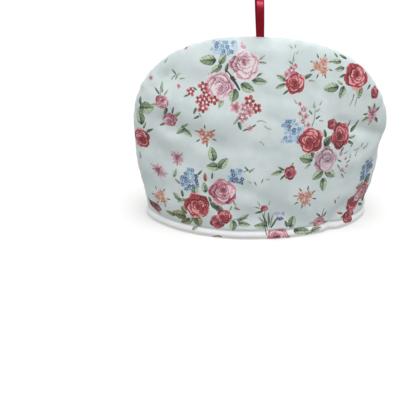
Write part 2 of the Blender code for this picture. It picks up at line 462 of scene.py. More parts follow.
FRONT_POSIES = (
    # across, up, distance of the flowers, how many, radius, colour, small leaves round them
    (-75, 138, 6.0, 3, 6.6, CORAL, 6),
    (75, 225, 5.6, 3, 8.2, AMBER, 8),
    (57, 57, 5.4, 3, 8.2, AMBER, 8),
    (-139, 43, 5.4, 3, 7.6, AMBER, 6),
)
FRONT_CLUSTERS = (
    # across, up, radius, colour
    (-59, 250, 13.0, PALE_BLUE),
    (-46, 252, 12.0, PALE_BLUE),
    (-96, 79, 16.0, DEEP_BLUE),
    (-35, 87, 12.5, BLUE),
    (36, 144, 17.5, BLUE),
    (153, 82, 14.5, DEEP_BLUE),
    (150, 69, 13.0, DEEP_BLUE),
    (24, 30, 8.5, VIOLET),
)
FRONT_LEAVES = (
    # across, up, half length, width share, turn, colour
    (-75, 233, 11.0, 1.5, 182, GREEN),
    (-56, 235, 7.5, 1.4, 60, GREEN),
    (-64, 222, 9.0, 1.1, 215, GREEN),
    (-50, 225, 6.0, 0.9, 75, DARK),
    (-23, 200, 10.0, 1.4, -26, GREEN),
    (-7, 208, 10.0, 1.1, -8, GREEN),
    (-9, 216, 6.0, 0.6, 25, DARK),
    (-41, 190, 9.0, 1.7, -106, GREEN),
    (-57, 180, 6.5, 1.2, -110, SAGE),
    (-4, 238, 5.0, 0.7, 40, SAGE),
    (-3, 231, 5.5, 0.7, -5, GREEN),
    (-71, 212, 5.0, 0.6, 120, DARK),
    (-114, 211, 5.5, 0.6, 60, SAGE),
    (-107, 208, 4.0, 0.7, 10, SAGE),
    (-119, 216, 4.5, 0.6, 130, DARK),
    (-91, 197, 4.0, 0.7, 150, DARK),
    (-102, 188, 3.6, 0.8, 200, DARK),
    (-90, 170, 4.5, 0.9, 250, DARK),
    (-88, 162, 4.5, 0.8, 210, DARK),
    (-83, 165, 3.5, 0.7, -60, SAGE),
    (-38, 158, 5.0, 0.9, 230, SAGE),
    (-32, 153, 5.5, 1.0, -70, DARK),
    (-14, 153, 4.0, 0.7, 30, DARK),
    (-25, 148, 4.0, 0.7, 200, DARK),
    (-131, 231, 4.5, 0.8, 60, SAGE),
    (-134, 197, 7.5, 0.6, 92, SAGE),
    (-128, 191, 5.0, 0.6, 55, SAGE),
    (-141, 191, 5.5, 0.6, 130, DARK),
    (-129, 166, 6.0, 1.0, 250, DARK),
    (-145, 173, 5.5, 0.8, 190, SAGE),
    (-113, 164, 6.5, 0.9, 40, GREEN),
    (-119, 169, 5.0, 0.7, 80, DARK),
    (-133, 147, 5.0, 0.8, 200, DARK),
    (-108, 141, 7.5, 1.2, 215, GREEN),
    (-99, 139, 7.5, 1.1, -38, GREEN),
    (-103, 149, 6.0, 0.9, 35, GREEN),
    (-156, 167, 11.5, 1.6, 8, GREEN),
    (-167, 154, 11.5, 1.5, 100, GREEN),
    (-166, 176, 6.0, 0.9, 90, DARK),
    (-152, 137, 6.0, 0.8, 30, DARK),
    (-160, 143, 5.5, 0.8, 65, GREEN),
    (-171, 97, 6.0, 0.8, 90, SAGE),
    (-66, 115, 9.2, 1.5, 105, GREEN),
    (-65, 99, 9.2, 1.4, 185, GREEN),
    (-52, 104, 9.0, 1.4, 48, GREEN),
    (-116, 84, 6.5, 1.0, 75, SAGE),
    (-150, 88, 4.5, 0.6, 150, SAGE),
    (-128, 80, 3.6, 0.6, 20, SAGE),
    (-107, 111, 3.8, 0.6, 50, SAGE),
    (-120, 111, 3.4, 0.6, 130, SAGE),
    (-113, 73, 4.5, 0.9, 140, GREEN),
    (-82, 89, 4.5, 0.8, 50, DARK),
    (-75, 84, 6.0, 1.0, 92, RUST),
    (-66, 87, 4.8, 0.7, 85, DARK),
    (-63, 46, 7.0, 1.6, 150, DARK),
    (-57, 42, 7.0, 1.5, -20, DARK),
    (-69, 54, 4.5, 1.0, 110, DARK),
    (-114, 51, 7.0, 1.3, 140, GREEN),
    (-107, 46, 7.0, 1.2, 205, SAGE),
    (-106, 57, 5.0, 1.0, 100, DARK),
    (-89, 65, 7.5, 1.4, 80, GREEN),
    (-76, 70, 7.5, 1.3, 100, GREEN),
    (-111, 25, 10.0, 1.7, 175, OLIVE),
    (-101, 16, 9.0, 1.5, 215, OLIVE),
    (-85, 20, 9.0, 1.7, -70, OLIVE),
    (-104, 34, 6.5, 1.4, 120, OLIVE),
    (-124, 22, 7.0, 1.2, 170, OLIVE),
    (-88, 9, 5.0, 1.2, 40, SAGE),
    (-93, 22, 6.0, 1.0, 250, GREEN),
    (-162, 24, 6.0, 0.8, 150, DARK),
    (-146, 14, 6.0, 0.7, -20, OLIVE),
    (-24, 30, 8.5, 1.0, 30, GREEN),
    (-23, 20, 8.5, 1.0, -15, GREEN),
    (-38, 18, 8.0, 1.4, -95, GREEN),
    (-31, 25, 4.5, 0.8, 120, DARK),
    (-15, 96, 5.0, 0.8, 40, SAGE),
    (-22, 98, 4.0, 0.7, 130, DARK),
    (-10, 78, 3.6, 0.5, -60, DARK),
    (-1, 82, 3.6, 0.5, 70, DARK),
    (7, 84, 3.4, 0.6, 20, SAGE),
    (-18, 80, 3.4, 0.6, 150, SAGE),
    (-37, 50, 5.5, 0.8, -60, SAGE),
    (-33, 43, 4.5, 0.8, -20, RUST),
    (-42, 43, 4.0, 0.8, -110, GREEN),
    (21, 212, 7.5, 1.0, 150, GREEN),
    (20, 202, 7.0, 1.0, 205, GREEN),
    (27, 194, 4.5, 0.8, 220, DARK),
    (56, 213, 7.5, 0.8, 25, DARK),
    (62, 207, 4.5, 0.7, -10, SAGE),
    (38, 235, 3.4, 0.6, 90, SAGE),
    (33, 231, 3.2, 0.7, 130, DARK),
    (43, 243, 3.0, 0.6, 60, SAGE),
    (34, 251, 3.4, 0.7, 130, SAGE),
    (41, 252, 3.0, 0.7, 70, SAGE),
    (96, 230, 7.0, 1.2, 175, GREEN),
    (100, 220, 7.0, 1.2, 190, GREEN),
    (107, 236, 6.0, 0.9, 150, DARK),
    (96, 239, 4.6, 0.9, 120, GREEN),
    (104, 211, 5.0, 0.9, 200, DARK),
    (88, 197, 10.5, 1.4, 185, GREEN),
    (103, 190, 8.5, 1.3, 250, GREEN),
    (100, 203, 5.0, 0.9, 140, SAGE),
    (128, 189, 9.0, 1.3, 265, GREEN),
    (143, 194, 4.5, 0.9, 230, DARK),
    (158, 162, 5.5, 1.0, 45, DARK),
    (145, 165, 5.5, 1.0, 130, DARK),
    (139, 151, 6.5, 1.1, 205, GREEN),
    (157, 148, 5.5, 1.1, -50, DARK),
    (152, 167, 5.0, 0.9, 80, DARK),
    (139, 158, 4.5, 0.9, 175, DARK),
    (147, 145, 4.5, 0.9, 240, GREEN),
    (84, 130, 7.5, 1.6, 50, DARK),
    (84, 121, 6.5, 1.3, -40, GREEN),
    (80, 140, 5.5, 1.0, 100, DARK),
    (55, 109, 9.5, 1.5, 165, GREEN),
    (64, 114, 6.5, 1.1, 130, DARK),
    (58, 99, 5.0, 0.9, 220, SAGE),
    (72, 86, 9.0, 1.5, 215, GREEN),
    (90, 86, 9.0, 1.5, -35, GREEN),
    (81, 72, 9.5, 1.3, -85, GREEN),
    (122, 141, 6.5, 0.9, 40, DARK),
    (120, 131, 5.5, 0.9, 10, GREEN),
    (117, 124, 5.0, 0.9, -30, DARK),
    (127, 148, 4.5, 0.7, 60, DARK),
    (115, 148, 5.5, 0.7, 70, GREEN),
    (106, 116, 4.2, 0.7, 60, DARK),
    (112, 111, 3.8, 0.6, 20, SAGE),
    (103, 101, 3.8, 0.7, -30, DARK),
    (102, 93, 4.2, 0.8, -60, GREEN),
    (112, 84, 3.8, 0.6, -40, SAGE),
    (116, 99, 3.4, 0.6, 30, DARK),
    (120, 121, 4.0, 0.6, 60, DARK),
    (127, 113, 3.8, 0.6, 25, SAGE),
    (119, 106, 3.8, 0.7, 80, SAGE),
    (97, 104, 3.6, 0.7, 10, SAGE),
    (109, 79, 4.4, 0.8, -60, GREEN),
    (136, 118, 3.4, 0.6, 70, DARK),
    (17, 92, 7.5, 1.0, 200, GREEN),
    (23, 98, 5.0, 0.8, 150, DARK),
    (25, 86, 4.4, 0.8, 230, DARK),
    (37, 102, 4.4, 0.9, 70, GREEN),
    (65, 177, 4.2, 0.8, 80, SAGE),
    (70, 170, 4.0, 0.8, 40, SAGE),
    (60, 168, 3.8, 0.7, 130, DARK),
    (70, 161, 4.0, 0.8, 30, DARK),
    (74, 179, 3.6, 0.7, 60, SAGE),
    (75, 156, 3.6, 0.7, -10, SAGE),
    (40, 182, 3.8, 0.7, 120, SAGE),
    (143, 53, 9.0, 1.5, 170, OLIVE),
    (158, 57, 10.0, 1.6, 60, DARK),
    (120, 16, 7.0, 0.9, 200, OLIVE),
    (112, 21, 5.0, 0.8, 160, RUST),
    (125, 36, 5.5, 0.8, 120, RUST),
    (161, 27, 9.0, 1.4, 80, DARK),
    (153, 17, 6.0, 0.9, -30, DARK),
    (101, 44, 3.6, 0.9, 100, RUST),
    (106, 49, 3.2, 0.7, 40, SAGE),
    (-4, 37, 6.0, 0.8, 200, DARK),
    (-5, 50, 4.8, 0.5, 120, SAGE),
    (10, 51, 4.4, 0.5, 75, SAGE),
    (-7, 44, 4.2, 0.7, 165, GREEN),
    (2, 22, 10.5, 0.42, 130, GREEN),
    (5, 25, 11.0, 0.36, 112, DARK),
    (10, 26, 11.0, 0.36, 95, DARK),
    (14, 25, 10.5, 0.36, 78, GREEN),
    (18, 22, 9.5, 0.40, 58, DARK),
    (-1, 17, 9.5, 1.0, 180, GREEN),
    (42, 22, 9.0, 1.5, 75, GREEN),
    (34, 19, 5.0, 0.9, 110, DARK),
    (56, 7, 11.5, 1.0, -5, GREEN),
    (76, 6, 8.5, 1.1, 10, GREEN),
    (66, 2, 6.5, 0.9, 195, SAGE),
    (88, 27, 4.6, 0.7, 60, DARK),
    (78, 28, 4.4, 0.8, 135, DARK),
    (70, 16, 4.6, 0.9, 190, SAGE),
    (91, 13, 4.8, 0.9, -20, GREEN),
    (-62, 0, 4.4, 0.9, 20, RUST),
    (-55, 1, 4.2, 0.9, -25, GREEN),
)
FRONT_STEMS = (
    # from across, from up, to across, to up, bow, colour
    (-52, 220, -33, 197, 0.10, BARK),
    (-42, 212, -30, 214, -0.15, BARK),
    (-60, 99, -66, 108, 0.10, GREEN),
    (-66, 98, -50, 101, -0.15, GREEN),
    (-44, 24, -18, 27, 0.20, SAGE),
    (-42, 22, -24, 20, -0.20, SAGE),
    (-106, 146, -94, 134, 0.15, GREEN),
    (53, 150, 47, 181, 0.08, SAGE),
    (62, 150, 66, 177, -0.12, SAGE),
    (14, 90, 30, 93, 0.15, SAGE),
    (8, 4, 4, 40, 0.10, DARK),
    (-10, 158, 2, 157, 0.30, SAGE),
    (0, 153, 10, 149, -0.25, SAGE),
    (-26, 93, -14, 95, 0.30, SAGE),
    (127, 104, 134, 116, 0.25, SAGE),
    (138, 112, 147, 119, -0.25, DARK),
    (-122, 206, -108, 214, 0.25, SAGE),
    (120, 187, 114, 171, 0.10, DARK),
    (127, 186, 122, 170, -0.10, DARK),
    (84, 22, 86, 37, 0.05, DARK),
    (36, 226, 40, 244, 0.15, SAGE),
    (-136, 186, -134, 204, 0.15, SAGE),
    (-6, 133, 0, 127, 0.30, SAGE),
    (98, 120, 112, 128, 0.15, SAGE),
)


# %% [markdown]
# ## From motifs to the mesh
#
# A motif reaches the material through the faces that it covers. Each of those faces gets, at its
# corners, how far they lie from the motif's centre, measured in the motif's own size and turned its
# way, and one number for its colour. Corners belong to one face only, so neighbouring motifs never
# smear into each other. Every kind of motif has two layers, which lets neighbours overlap.

# %% Sizes of the stamps
MILLIMETRE = 0.001
FAR_AWAY = 3.0               # stands at the corners of faces that no motif covers
KINDS = ("rose", "bloom", "cluster", "leaf", "stem")
LEAF_WIDTH = 0.42            # half a leaf's width, as a share of its half length
MOST_CLUSTER = 0.040         # a cluster's radius is passed as a share of this
STEM_UNIT = 0.008            # a stem's width and bow are measured in this
CLUSTER_MARGIN = 1.25        # a cluster's stamp is that much larger, for flowers on its edge
SMALL_LEAF = 3.2             # half length of the leaves round a posy, in millimetres
SMALL_LEAF_WIDTH = 0.8
POSY_TURN = 100              # where a posy's first flower stands
POSY_LEAF_TURN = 20
NEXT_TURN = 25               # from one flower of a posy to the next
GOLDEN = 0.618034            # its multiples, without their whole part, spread evenly from 0 to 1
LEAF_MARGIN = 1.25           # a leaf's stamp is that much wider, for its teeth
STEM_REACH = 0.5             # a stem's stamp, in stem units to either side


# %% The panel as a printer sees it
class PrintedPanel:
    """The flat places of a panel's printed faces, and the layers of motifs stamped on them."""

    def __init__(self, corners):
        self.corners = corners                     # faces x 4 corners x (right, up), in metres
        self.centres = corners.mean(axis=1)
        sides = np.linalg.norm(corners - self.centres[:, None], axis=2)
        self.face_reach = sides.max(axis=1)
        self.layers = {}
        self.nearness = {}
        for kind in KINDS:
            for layer in (kind + "_over", kind + "_under"):
                self.layers[layer] = np.full(corners.shape[:2] + (3,), FAR_AWAY)
                self.nearness[layer] = np.full(len(corners), FAR_AWAY)

    def local(self, places, middle, turn, size, width):
        """Places measured from a motif's middle, in its own size and turned its way."""
        away = places - np.array(middle) * MILLIMETRE
        cos = math.cos(turn)
        sin = math.sin(turn)
        along = away[..., 0] * cos + away[..., 1] * sin
        aside = away[..., 1] * cos - away[..., 0] * sin
        return np.stack([along / size, aside / (size * width)], -1)

    def stamp(self, kind, middle, turn, size, width, code, outline):
        """Puts a motif on the first layer that is free there, or else on the faces nearer to it."""
        near = self.local(self.centres, middle, turn, size, width)
        margin = self.face_reach / (size * min(width, 1.0))
        distance = outline(near[:, 0], near[:, 1])
        covered = distance < 1 + margin
        for layer in (kind + "_over", kind + "_under"):
            if not np.any(covered & (self.nearness[layer] < FAR_AWAY)):
                break
        else:
            layer = kind + "_over"
            covered &= distance < self.nearness[layer]
        self.nearness[layer][covered] = distance[covered]
        places = self.local(self.corners[covered], middle, turn, size, width)
        self.layers[layer][covered, :, :2] = places
        self.layers[layer][covered, :, 2] = code


# %% Outlines of the stamps: 1 is the edge
def round_outline(along, aside):
    return np.hypot(along, aside)


def leaf_outline(along, aside):
    return np.maximum(abs(along), abs(aside) / (LEAF_WIDTH * LEAF_MARGIN))


def stem_outline(along, aside):
    return np.maximum(abs(along), abs(aside) / STEM_REACH)


def shade_of(index):
    """A number between 0.1 and 0.9 that differs from motif to motif."""
    return 0.1 + 0.8 * (index * GOLDEN % 1)


# %% Stamping a layout
def round_the_middle(across, up, distance, turn):
    """A place at a distance from a posy's middle."""
    return across + distance * math.cos(turn), up + distance * math.sin(turn)


def open_posies(posies):
    """The single flowers and the small leaves that posies are made of."""
    blooms = []
    leaves = []
    for across, up, distance, count, radius, colour, small in posies:
        for number in range(count):
            turn = math.radians(POSY_TURN + 360 / count * number + across)
            place = round_the_middle(across, up, distance, turn)
            blooms.append((*place, radius, number * NEXT_TURN, colour))
        for number in range(small):
            turn = POSY_LEAF_TURN + 360 / small * number + up
            place = round_the_middle(across, up, distance + radius, math.radians(turn))
            leaves.append((*place, SMALL_LEAF, SMALL_LEAF_WIDTH, turn, DARK))
    return blooms, leaves


def print_motifs(panel, roses, blooms, posies, clusters, leaves, stems):
    """Stamps a whole layout on a panel."""
    posy_blooms, posy_leaves = open_posies(posies)
    flowers = [(across, up, size, 1.0, turn, colour)
               for across, up, size, turn, colour in (*blooms, *posy_blooms)]

    def stamp_all(kind, rows, outline):
        for index, (across, up, size, width, turn, colour) in enumerate(rows):
            panel.stamp(kind, (across, up), math.radians(turn), size * MILLIMETRE, width,
                        colour + shade_of(index), outline)

    stamp_all("rose", roses, round_outline)
    stamp_all("bloom", flowers, round_outline)
    for across, up, size, colour in clusters:
        radius = size * MILLIMETRE
        panel.stamp("cluster", (across, up), 0.0, radius * CLUSTER_MARGIN, 1.0,
                    colour + radius / MOST_CLUSTER, round_outline)
    stamp_all("leaf", (*leaves, *posy_leaves), leaf_outline)
    for across, up, to_across, to_up, bow, colour in stems:
        middle = ((across + to_across) / 2, (up + to_up) / 2)
        turn = math.atan2(to_up - up, to_across - across)
        half = math.hypot(to_up - up, to_across - across) / 2 * MILLIMETRE
        panel.stamp("stem", middle, turn, half, STEM_UNIT / half,
                    colour + 0.5 + bow * half / STEM_UNIT, stem_outline)


# %% [markdown]
# ## Maths for the materials, written as expressions
#
# A Blender material is a graph of small nodes. Joining them one by one hides the idea, so one class
# stands for an output socket and lets it be used in plain Python: `1 - mask` adds a Math node and
# gives back its output. A second class holds a material's tree and has the one method that adds any
# other node.

# %% Colours and sockets
def linear(red, green, blue):
    """A colour given as 0 to 255 on the screen, as the linear numbers that a shader wants."""
    parts = [value / 255 for value in (red, green, blue)]
    return (*[((part + 0.055) / 1.055) ** 2.4 for part in parts], 1.0)


def operator(operation, swapped=False):
    """A method of Wire that adds one Math node."""
    def method(self, other):
        values = (other, self) if swapped else (self, other)
        return self.paint.maths(operation, *values)
    return method


class Wire:
    """An output socket, for use in ordinary expressions."""

    def __init__(self, paint, socket):
        self.paint = paint
        self.socket = socket

    __add__ = operator("ADD")
    __radd__ = operator("ADD", swapped=True)
    __sub__ = operator("SUBTRACT")
    __rsub__ = operator("SUBTRACT", swapped=True)
    __mul__ = operator("MULTIPLY")
    __rmul__ = operator("MULTIPLY", swapped=True)
    __truediv__ = operator("DIVIDE")
    __rtruediv__ = operator("DIVIDE", swapped=True)
    __pow__ = operator("POWER")
    __lt__ = operator("LESS_THAN")
    __gt__ = operator("GREATER_THAN")


# %% A material's tree
MOST_COLOURS = 8             # of one kind of motif


class Paint:
    """A material's node tree."""

    def __init__(self, name):
        self.material = bpy.data.materials.new(name)
        self.material.use_nodes = True
        self.tree = self.material.node_tree
        self.shader = self.tree.nodes["Principled BSDF"]

    def feed(self, socket, value):
        """Links a wire to a socket, or sets a plain value on it."""
        if isinstance(value, Wire):
            self.tree.links.new(value.socket, socket)
        else:
            socket.default_value = value

    def surface(self, inputs):
        """Feeds the shader's own sockets and gives back the material."""
        for key, value in inputs.items():
            self.feed(self.shader.inputs[key], value)
        print(self.material.name, "has", len(self.tree.nodes), "nodes")
        return self.material

    def node(self, kind, settings=None, inputs=None, output=0):
        """Adds a node: its type, its settings, then the values or wires of its sockets."""
        made = self.tree.nodes.new(kind)
        for key, value in (settings or {}).items():
            if key == "stops":
                self.set_stops(made.color_ramp, value)
            else:
                setattr(made, key, value)
        for key, value in (inputs or {}).items():
            self.feed(made.inputs[key], value)
        if isinstance(output, tuple):
            return [Wire(self, made.outputs[name]) for name in output]
        return Wire(self, made.outputs[output])

    def set_stops(self, ramp, stops):
        """Gives a ramp its interpolation and its stops. A new ramp has two."""
        ramp.interpolation = stops[0]
        for index, (place, colour) in enumerate(stops[1]):
            stop = ramp.elements[index] if index < 2 else ramp.elements.new(place)
            stop.position = place
            stop.color = colour

    def maths(self, operation, *values):
        """Adds one Math node."""
        inputs = dict(enumerate(values))
        return self.node("ShaderNodeMath", {"operation": operation}, inputs)

    def between(self, value, low, high):
        """0 below low, 1 above high and a smooth step from one to the other."""
        settings = {"interpolation_type": "SMOOTHSTEP"}
        inputs = {"Value": value, "From Min": low, "From Max": high}
        return self.node("ShaderNodeMapRange", settings, inputs)

    def blend(self, share, colour, other):
        """The first colour where share is 0, the other where it is 1."""
        inputs = {0: share, 6: colour, 7: other}
        return self.node("ShaderNodeMix", {"data_type": "RGBA"}, inputs, output=2)

    def choose(self, share, value, other):
        """The first number where share is 0, the other where it is 1."""
        return value + share * (other - value)

    def colour_of(self, number, colours):
        """One of a few colours, by its number."""
        stops = [(max(index - 0.5, 0) / MOST_COLOURS, colour)
                 for index, colour in enumerate(colours)]
        inputs = {"Fac": (number + 0.01) / MOST_COLOURS}
        return self.node("ShaderNodeValToRGB", {"stops": ("CONSTANT", stops)}, inputs)

    def noise(self, place, size, detail=2.0, output="Fac"):
        """Noise whose blotches are about this many metres across."""
        settings = {"noise_dimensions": "2D"}
        inputs = {"Vector": place, "Scale": 1 / size, "Detail": detail}
        return self.node("ShaderNodeTexNoise", settings, inputs, output)


# %% [markdown]
# ## How one motif is drawn
#
# The blocks of a printed cotton lay down a few flat inks: a deep one, a body, a light one. A motif
# therefore works out one number, its tone, and three inks are chosen by it. Uneven noise in the
# tone breaks the edges of each ink up into dabs, as the brush of the pattern's painter did.
#
# A rose seen from above is a few rings of petals, each lying inside the last and a little to one
# side. A ring's rim is a circle with as many bulges as it has petals. The petals are light at the
# rim and darken towards the ring above them, and every petal is a little lighter or darker than the
# next. Leaves have a rib, side veins and a light and a dark half. The tiny flowers of a cluster get
# their centres from a Voronoi texture.

# %% Colours of the print
def inks(*rows):
    """From rows of deep, body and light ink, as on the screen, the three lists of colours."""
    return tuple(zip(*[[linear(*ink) for ink in row] for row in rows]))


ROSE_INKS = inks(
    ((98, 12, 28), (184, 52, 64), (242, 176, 178)),          # red
    ((126, 40, 64), (208, 134, 150), (246, 216, 222)),       # pink
    ((150, 84, 106), (220, 172, 186), (248, 236, 240)),      # pale
    ((54, 6, 16), (128, 30, 42), (204, 124, 126)),           # wine: a deep red, its ink also darkened as painted shade
    ((78, 8, 22), (156, 38, 52), (222, 138, 144)),           # crimson
    ((132, 94, 108), (202, 170, 182), (230, 214, 222)),      # pale, greyed: painted shade on the pale ink
)
BLOOM_INKS = inks(
    ((80, 8, 22), (168, 32, 48), (228, 124, 132)),           # claret
    ((140, 70, 86), (218, 150, 162), (248, 214, 220)),       # blush
    ((112, 52, 80), (196, 126, 150), (240, 202, 214)),       # mauve
    ((130, 66, 60), (210, 132, 124), (244, 206, 188)),       # coral
    ((126, 74, 94), (206, 152, 170), (240, 214, 224)),       # star
    ((138, 82, 76), (214, 156, 146), (244, 222, 208)),       # amber
)
BLOOM_HEARTS = (linear(252, 230, 226), linear(190, 96, 100), linear(248, 226, 206),
                linear(236, 188, 144), linear(150, 88, 96), linear(220, 164, 122))
CLUSTER_INKS = inks(
    ((66, 104, 146), (118, 162, 200), (190, 216, 236)),      # blue
    ((96, 132, 170), (142, 180, 212), (198, 218, 236)),      # pale blue
    ((44, 74, 114), (94, 134, 176), (168, 196, 220)),        # deep blue
    ((88, 92, 146), (138, 144, 194), (206, 208, 232)),       # violet
)
CLUSTER_HEART = linear(250, 240, 214)
LEAF_INKS = inks(
    ((34, 52, 38), (116, 140, 108), (200, 216, 182)),        # green
    ((20, 30, 26), (62, 82, 64), (128, 150, 118)),           # dark
    ((84, 106, 84), (148, 168, 144), (204, 218, 196)),       # sage
    ((84, 28, 24), (150, 70, 56), (216, 150, 118)),          # rust
    ((42, 44, 26), (112, 114, 74), (176, 176, 132)),         # olive
    ((30, 30, 24), (48, 46, 38), (80, 74, 58)),              # bark
)
print("inks:", 3 * sum(len(kind[0]) for kind in (ROSE_INKS, BLOOM_INKS, CLUSTER_INKS, LEAF_INKS)))

# Rings of a rose, from the outside in: radius, petals, turn, shift right, shift up, bulge, tone
ROSE_RINGS = (
    (1.00, 5, 0.3, 0.00, 0.00, 0.17, 0.50),
    (0.77, 4, 1.5, 0.04, 0.05, 0.20, 0.50),
    (0.56, 4, 0.7, 0.10, 0.08, 0.22, 0.46),
    (0.37, 3, 2.1, 0.08, 0.13, 0.24, 0.34),
    (0.19, 2, 0.9, 0.10, 0.12, 0.24, 0.06),
)
CLUSTER_STEP = 0.0052        # from one flower of a cluster to the next
STEM_WIDTH = 0.0010
BARK_WIDTH = 0.0036
TREMBLE = 0.12               # how far a motif's lines tremble, as a share of its size
DEEP_ENDS = (0.14, 0.32)     # the tones between which the deep ink gives way to the body
BODY_ENDS = (0.54, 0.74)     # and the body to the light ink


# %% Reading a stamp, and inking
def read_stamp(paint, layer):
    """Along, aside, colour number and a share of a layer's motif."""
    place = paint.node("ShaderNodeAttribute", {"attribute_name": layer}, output="Vector")
    along, aside, code = paint.node("ShaderNodeSeparateXYZ", inputs={0: place},
                                    output=("X", "Y", "Z"))
    number = paint.maths("FLOOR", code)
    return along, aside, number, code - number


def read_stamps(paint, kind):
    """The stamps of a kind's two layers, the upper one first."""
    return read_stamp(paint, kind + "_over"), read_stamp(paint, kind + "_under")


def pick_over(paint, over, under, hit):
    """The upper motif where it was hit, and the lower one elsewhere."""
    return [paint.choose(hit, low, high) for high, low in zip(over, under)]


def inked(paint, kind, number, tone):
    """The deep, the body or the light ink, by the tone, with short blends between them."""
    deep, body, light = [paint.colour_of(number, ink) for ink in kind]
    colour = paint.blend(paint.between(tone, *DEEP_ENDS), deep, body)
    return paint.blend(paint.between(tone, *BODY_ENDS), colour, light)


def length_of(paint, x, y):
    """How far a place is from 0, 0."""
    return paint.maths("SQRT", x * x + y * y)


def petal_fan(paint, x, y, petals, turn):
    """How far out, how wide the petal is there, and a tint that differs from petal to petal."""
    share = paint.maths("ARCTAN2", y, x) * (petals / 2) + turn
    wave = paint.maths("ABSOLUTE", paint.maths("SINE", share))
    petal = paint.maths("FLOORED_MODULO", paint.maths("FLOOR", share / math.pi), petals)
    tint = paint.maths("SINE", petal * 2.4 + turn * 5)
    return length_of(paint, x, y), wave, tint


# %% Roses
# Amounts of tone, which runs from 0, the deep ink, to 1, the light one
PETAL_RIM = 0.30             # lighter at a petal's rim
PETAL_TINT = 0.19            # from petal to petal
PARTING = 0.26               # darker in the line between two petals
RING_SHADE = 0.38            # darker beside the ring above it
GLEAM = 0.32                 # lighter where the light falls on the flower
FAR_SIDE = 0.16              # darker on the other side
ROSE_DABS = 0.65             # uneven, in dabs
ROSE_STREAKS = 0.6           # and in streaks out from the middle
ROSE_LEVEL = 0.04            # darker as a whole
PALE_LIFT = 0.12             # lighter, the pale roses alone
# In radii of the rose
GLEAM_PLACE = (0.34, -0.10)
STREAK_SIZE = 0.16


def rose_ring(paint, along, aside, seed, row):
    """How far out a place is, 1 at the ring's rim, its petal's tint and the line beside it."""
    radius, petals, turn, right, up, bulge, _ = row
    reach, wave, tint = petal_fan(paint, along - right, aside - up, petals, seed * 9 + turn)
    return reach / (wave * (bulge * radius) + radius * (1 - bulge)), tint, 1 - wave


def rose_tone(paint, rings):
    """The tone of whichever ring is uppermost at a place."""
    tone = None
    for index, (reach, tint, parting) in enumerate(rings):
        rim = paint.between(reach, 0.60, 0.98)
        own_tone = ROSE_RINGS[index][-1]
        petal = rim * PETAL_RIM + tint * PETAL_TINT - parting ** 5 * PARTING + own_tone
        if index + 1 < len(rings):
            petal = petal - paint.between(rings[index + 1][0], 1.40, 1.0) * RING_SHADE
        if tone is None:
            tone = petal
        else:
            tone = paint.choose(reach < 1, tone, petal)
    return tone


def rose_layer(paint, wobble, dabs):
    """Mask and colour of the roses."""
    over, under = read_stamps(paint, "rose")
    outline, _, _ = rose_ring(paint, over[0], over[1], over[3], ROSE_RINGS[0])
    along, aside, number, seed = pick_over(paint, over, under, outline < 1)
    outwards = paint.node("ShaderNodeVectorMath", {"operation": "NORMALIZE"}, {
        0: paint.node("ShaderNodeCombineXYZ", inputs={0: along, 1: aside})})
    streaks = paint.noise(outwards, STREAK_SIZE)
    along = along + wobble[0] * TREMBLE
    aside = aside + wobble[1] * TREMBLE
    rings = [rose_ring(paint, along, aside, seed, row) for row in ROSE_RINGS]
    gleam = length_of(paint, along - GLEAM_PLACE[0], aside - GLEAM_PLACE[1])
    tone = rose_tone(paint, rings) + paint.between(gleam, 0.55, 0.10) * GLEAM
    tone = tone - paint.between(along, 0.2, -0.9) * FAR_SIDE
    tone = tone + dabs * ROSE_DABS + (streaks - 0.5) * ROSE_STREAKS - ROSE_LEVEL
    tone = tone + (number > PALE - 0.5) * (number < PALE + 0.5) * PALE_LIFT
    return rings[0][0] < 1, inked(paint, ROSE_INKS, number, tone)


# %% Leaves
# Amounts of tone
LEAF_LEVEL = 0.56
LIGHT_HALF = 0.26            # lighter on one side of the rib
RIB = 0.70                   # darker in the rib
VEIN = 0.24                  # and in the side veins
FOOT_SHADE = 0.46            # and at the leaf's foot
EDGE_SHADE = 0.28
LEAF_DABS = 0.8
# The leaf's shape
FULLNESS = 0.68              # below 1 the leaf is fuller towards its tips
TAPER = 0.25                 # the share by which the tip's half is narrower
TEETH = (7, 0.12)            # how many on half the leaf's length, and how deep
VEINS = (2.3, 2.4)           # how many, and how much they slant


def leaf_edge(paint, along, aside):
    """How far out a place is across the leaf, 1 at its edge."""
    fullness = paint.maths("MAXIMUM", 1 - along * along, 0.0001) ** FULLNESS
    return paint.maths("ABSOLUTE", aside) / (fullness * LEAF_WIDTH * (1 - along * TAPER))


def leaf_layer(paint, wobble, dabs):
    """Mask and colour of the leaves."""
    over, under = read_stamps(paint, "leaf")
    hit = leaf_edge(paint, over[0], over[1]) < 1
    along, aside, number, seed = pick_over(paint, over, under, hit)
    along = along + wobble[0] * 0.10
    aside = aside + wobble[1] * 0.07
    teeth = paint.maths("PINGPONG", along * TEETH[0], 0.5) * TEETH[1]
    edge = leaf_edge(paint, along, aside) + teeth
    out = paint.maths("ABSOLUTE", aside)
    veins = paint.maths("PINGPONG", along * VEINS[0] - out * VEINS[1] + seed, 0.5)
    side = (seed > 0.5) * 2 - 1
    tone = paint.between(aside * side, -0.05, 0.05) * LIGHT_HALF + LEAF_LEVEL
    rib = (1 - paint.between(out, 0.012, 0.070)) * paint.between(along, 1.0, -0.2)
    tone = tone - rib * RIB - (1 - paint.between(veins, 0.02, 0.16)) * VEIN
    tone = tone - (1 - paint.between(along + out, -0.90, 0.10)) * FOOT_SHADE
    tone = tone - paint.between(edge, 0.80, 1.0) * EDGE_SHADE + dabs * LEAF_DABS
    inside = (edge < 1) * (paint.maths("ABSOLUTE", along) < 1)
    return inside, inked(paint, LEAF_INKS, number, tone)


# %% Stems
STEM_TONE = 0.25
STEM_TAPER = 0.4             # the share by which its end is thinner


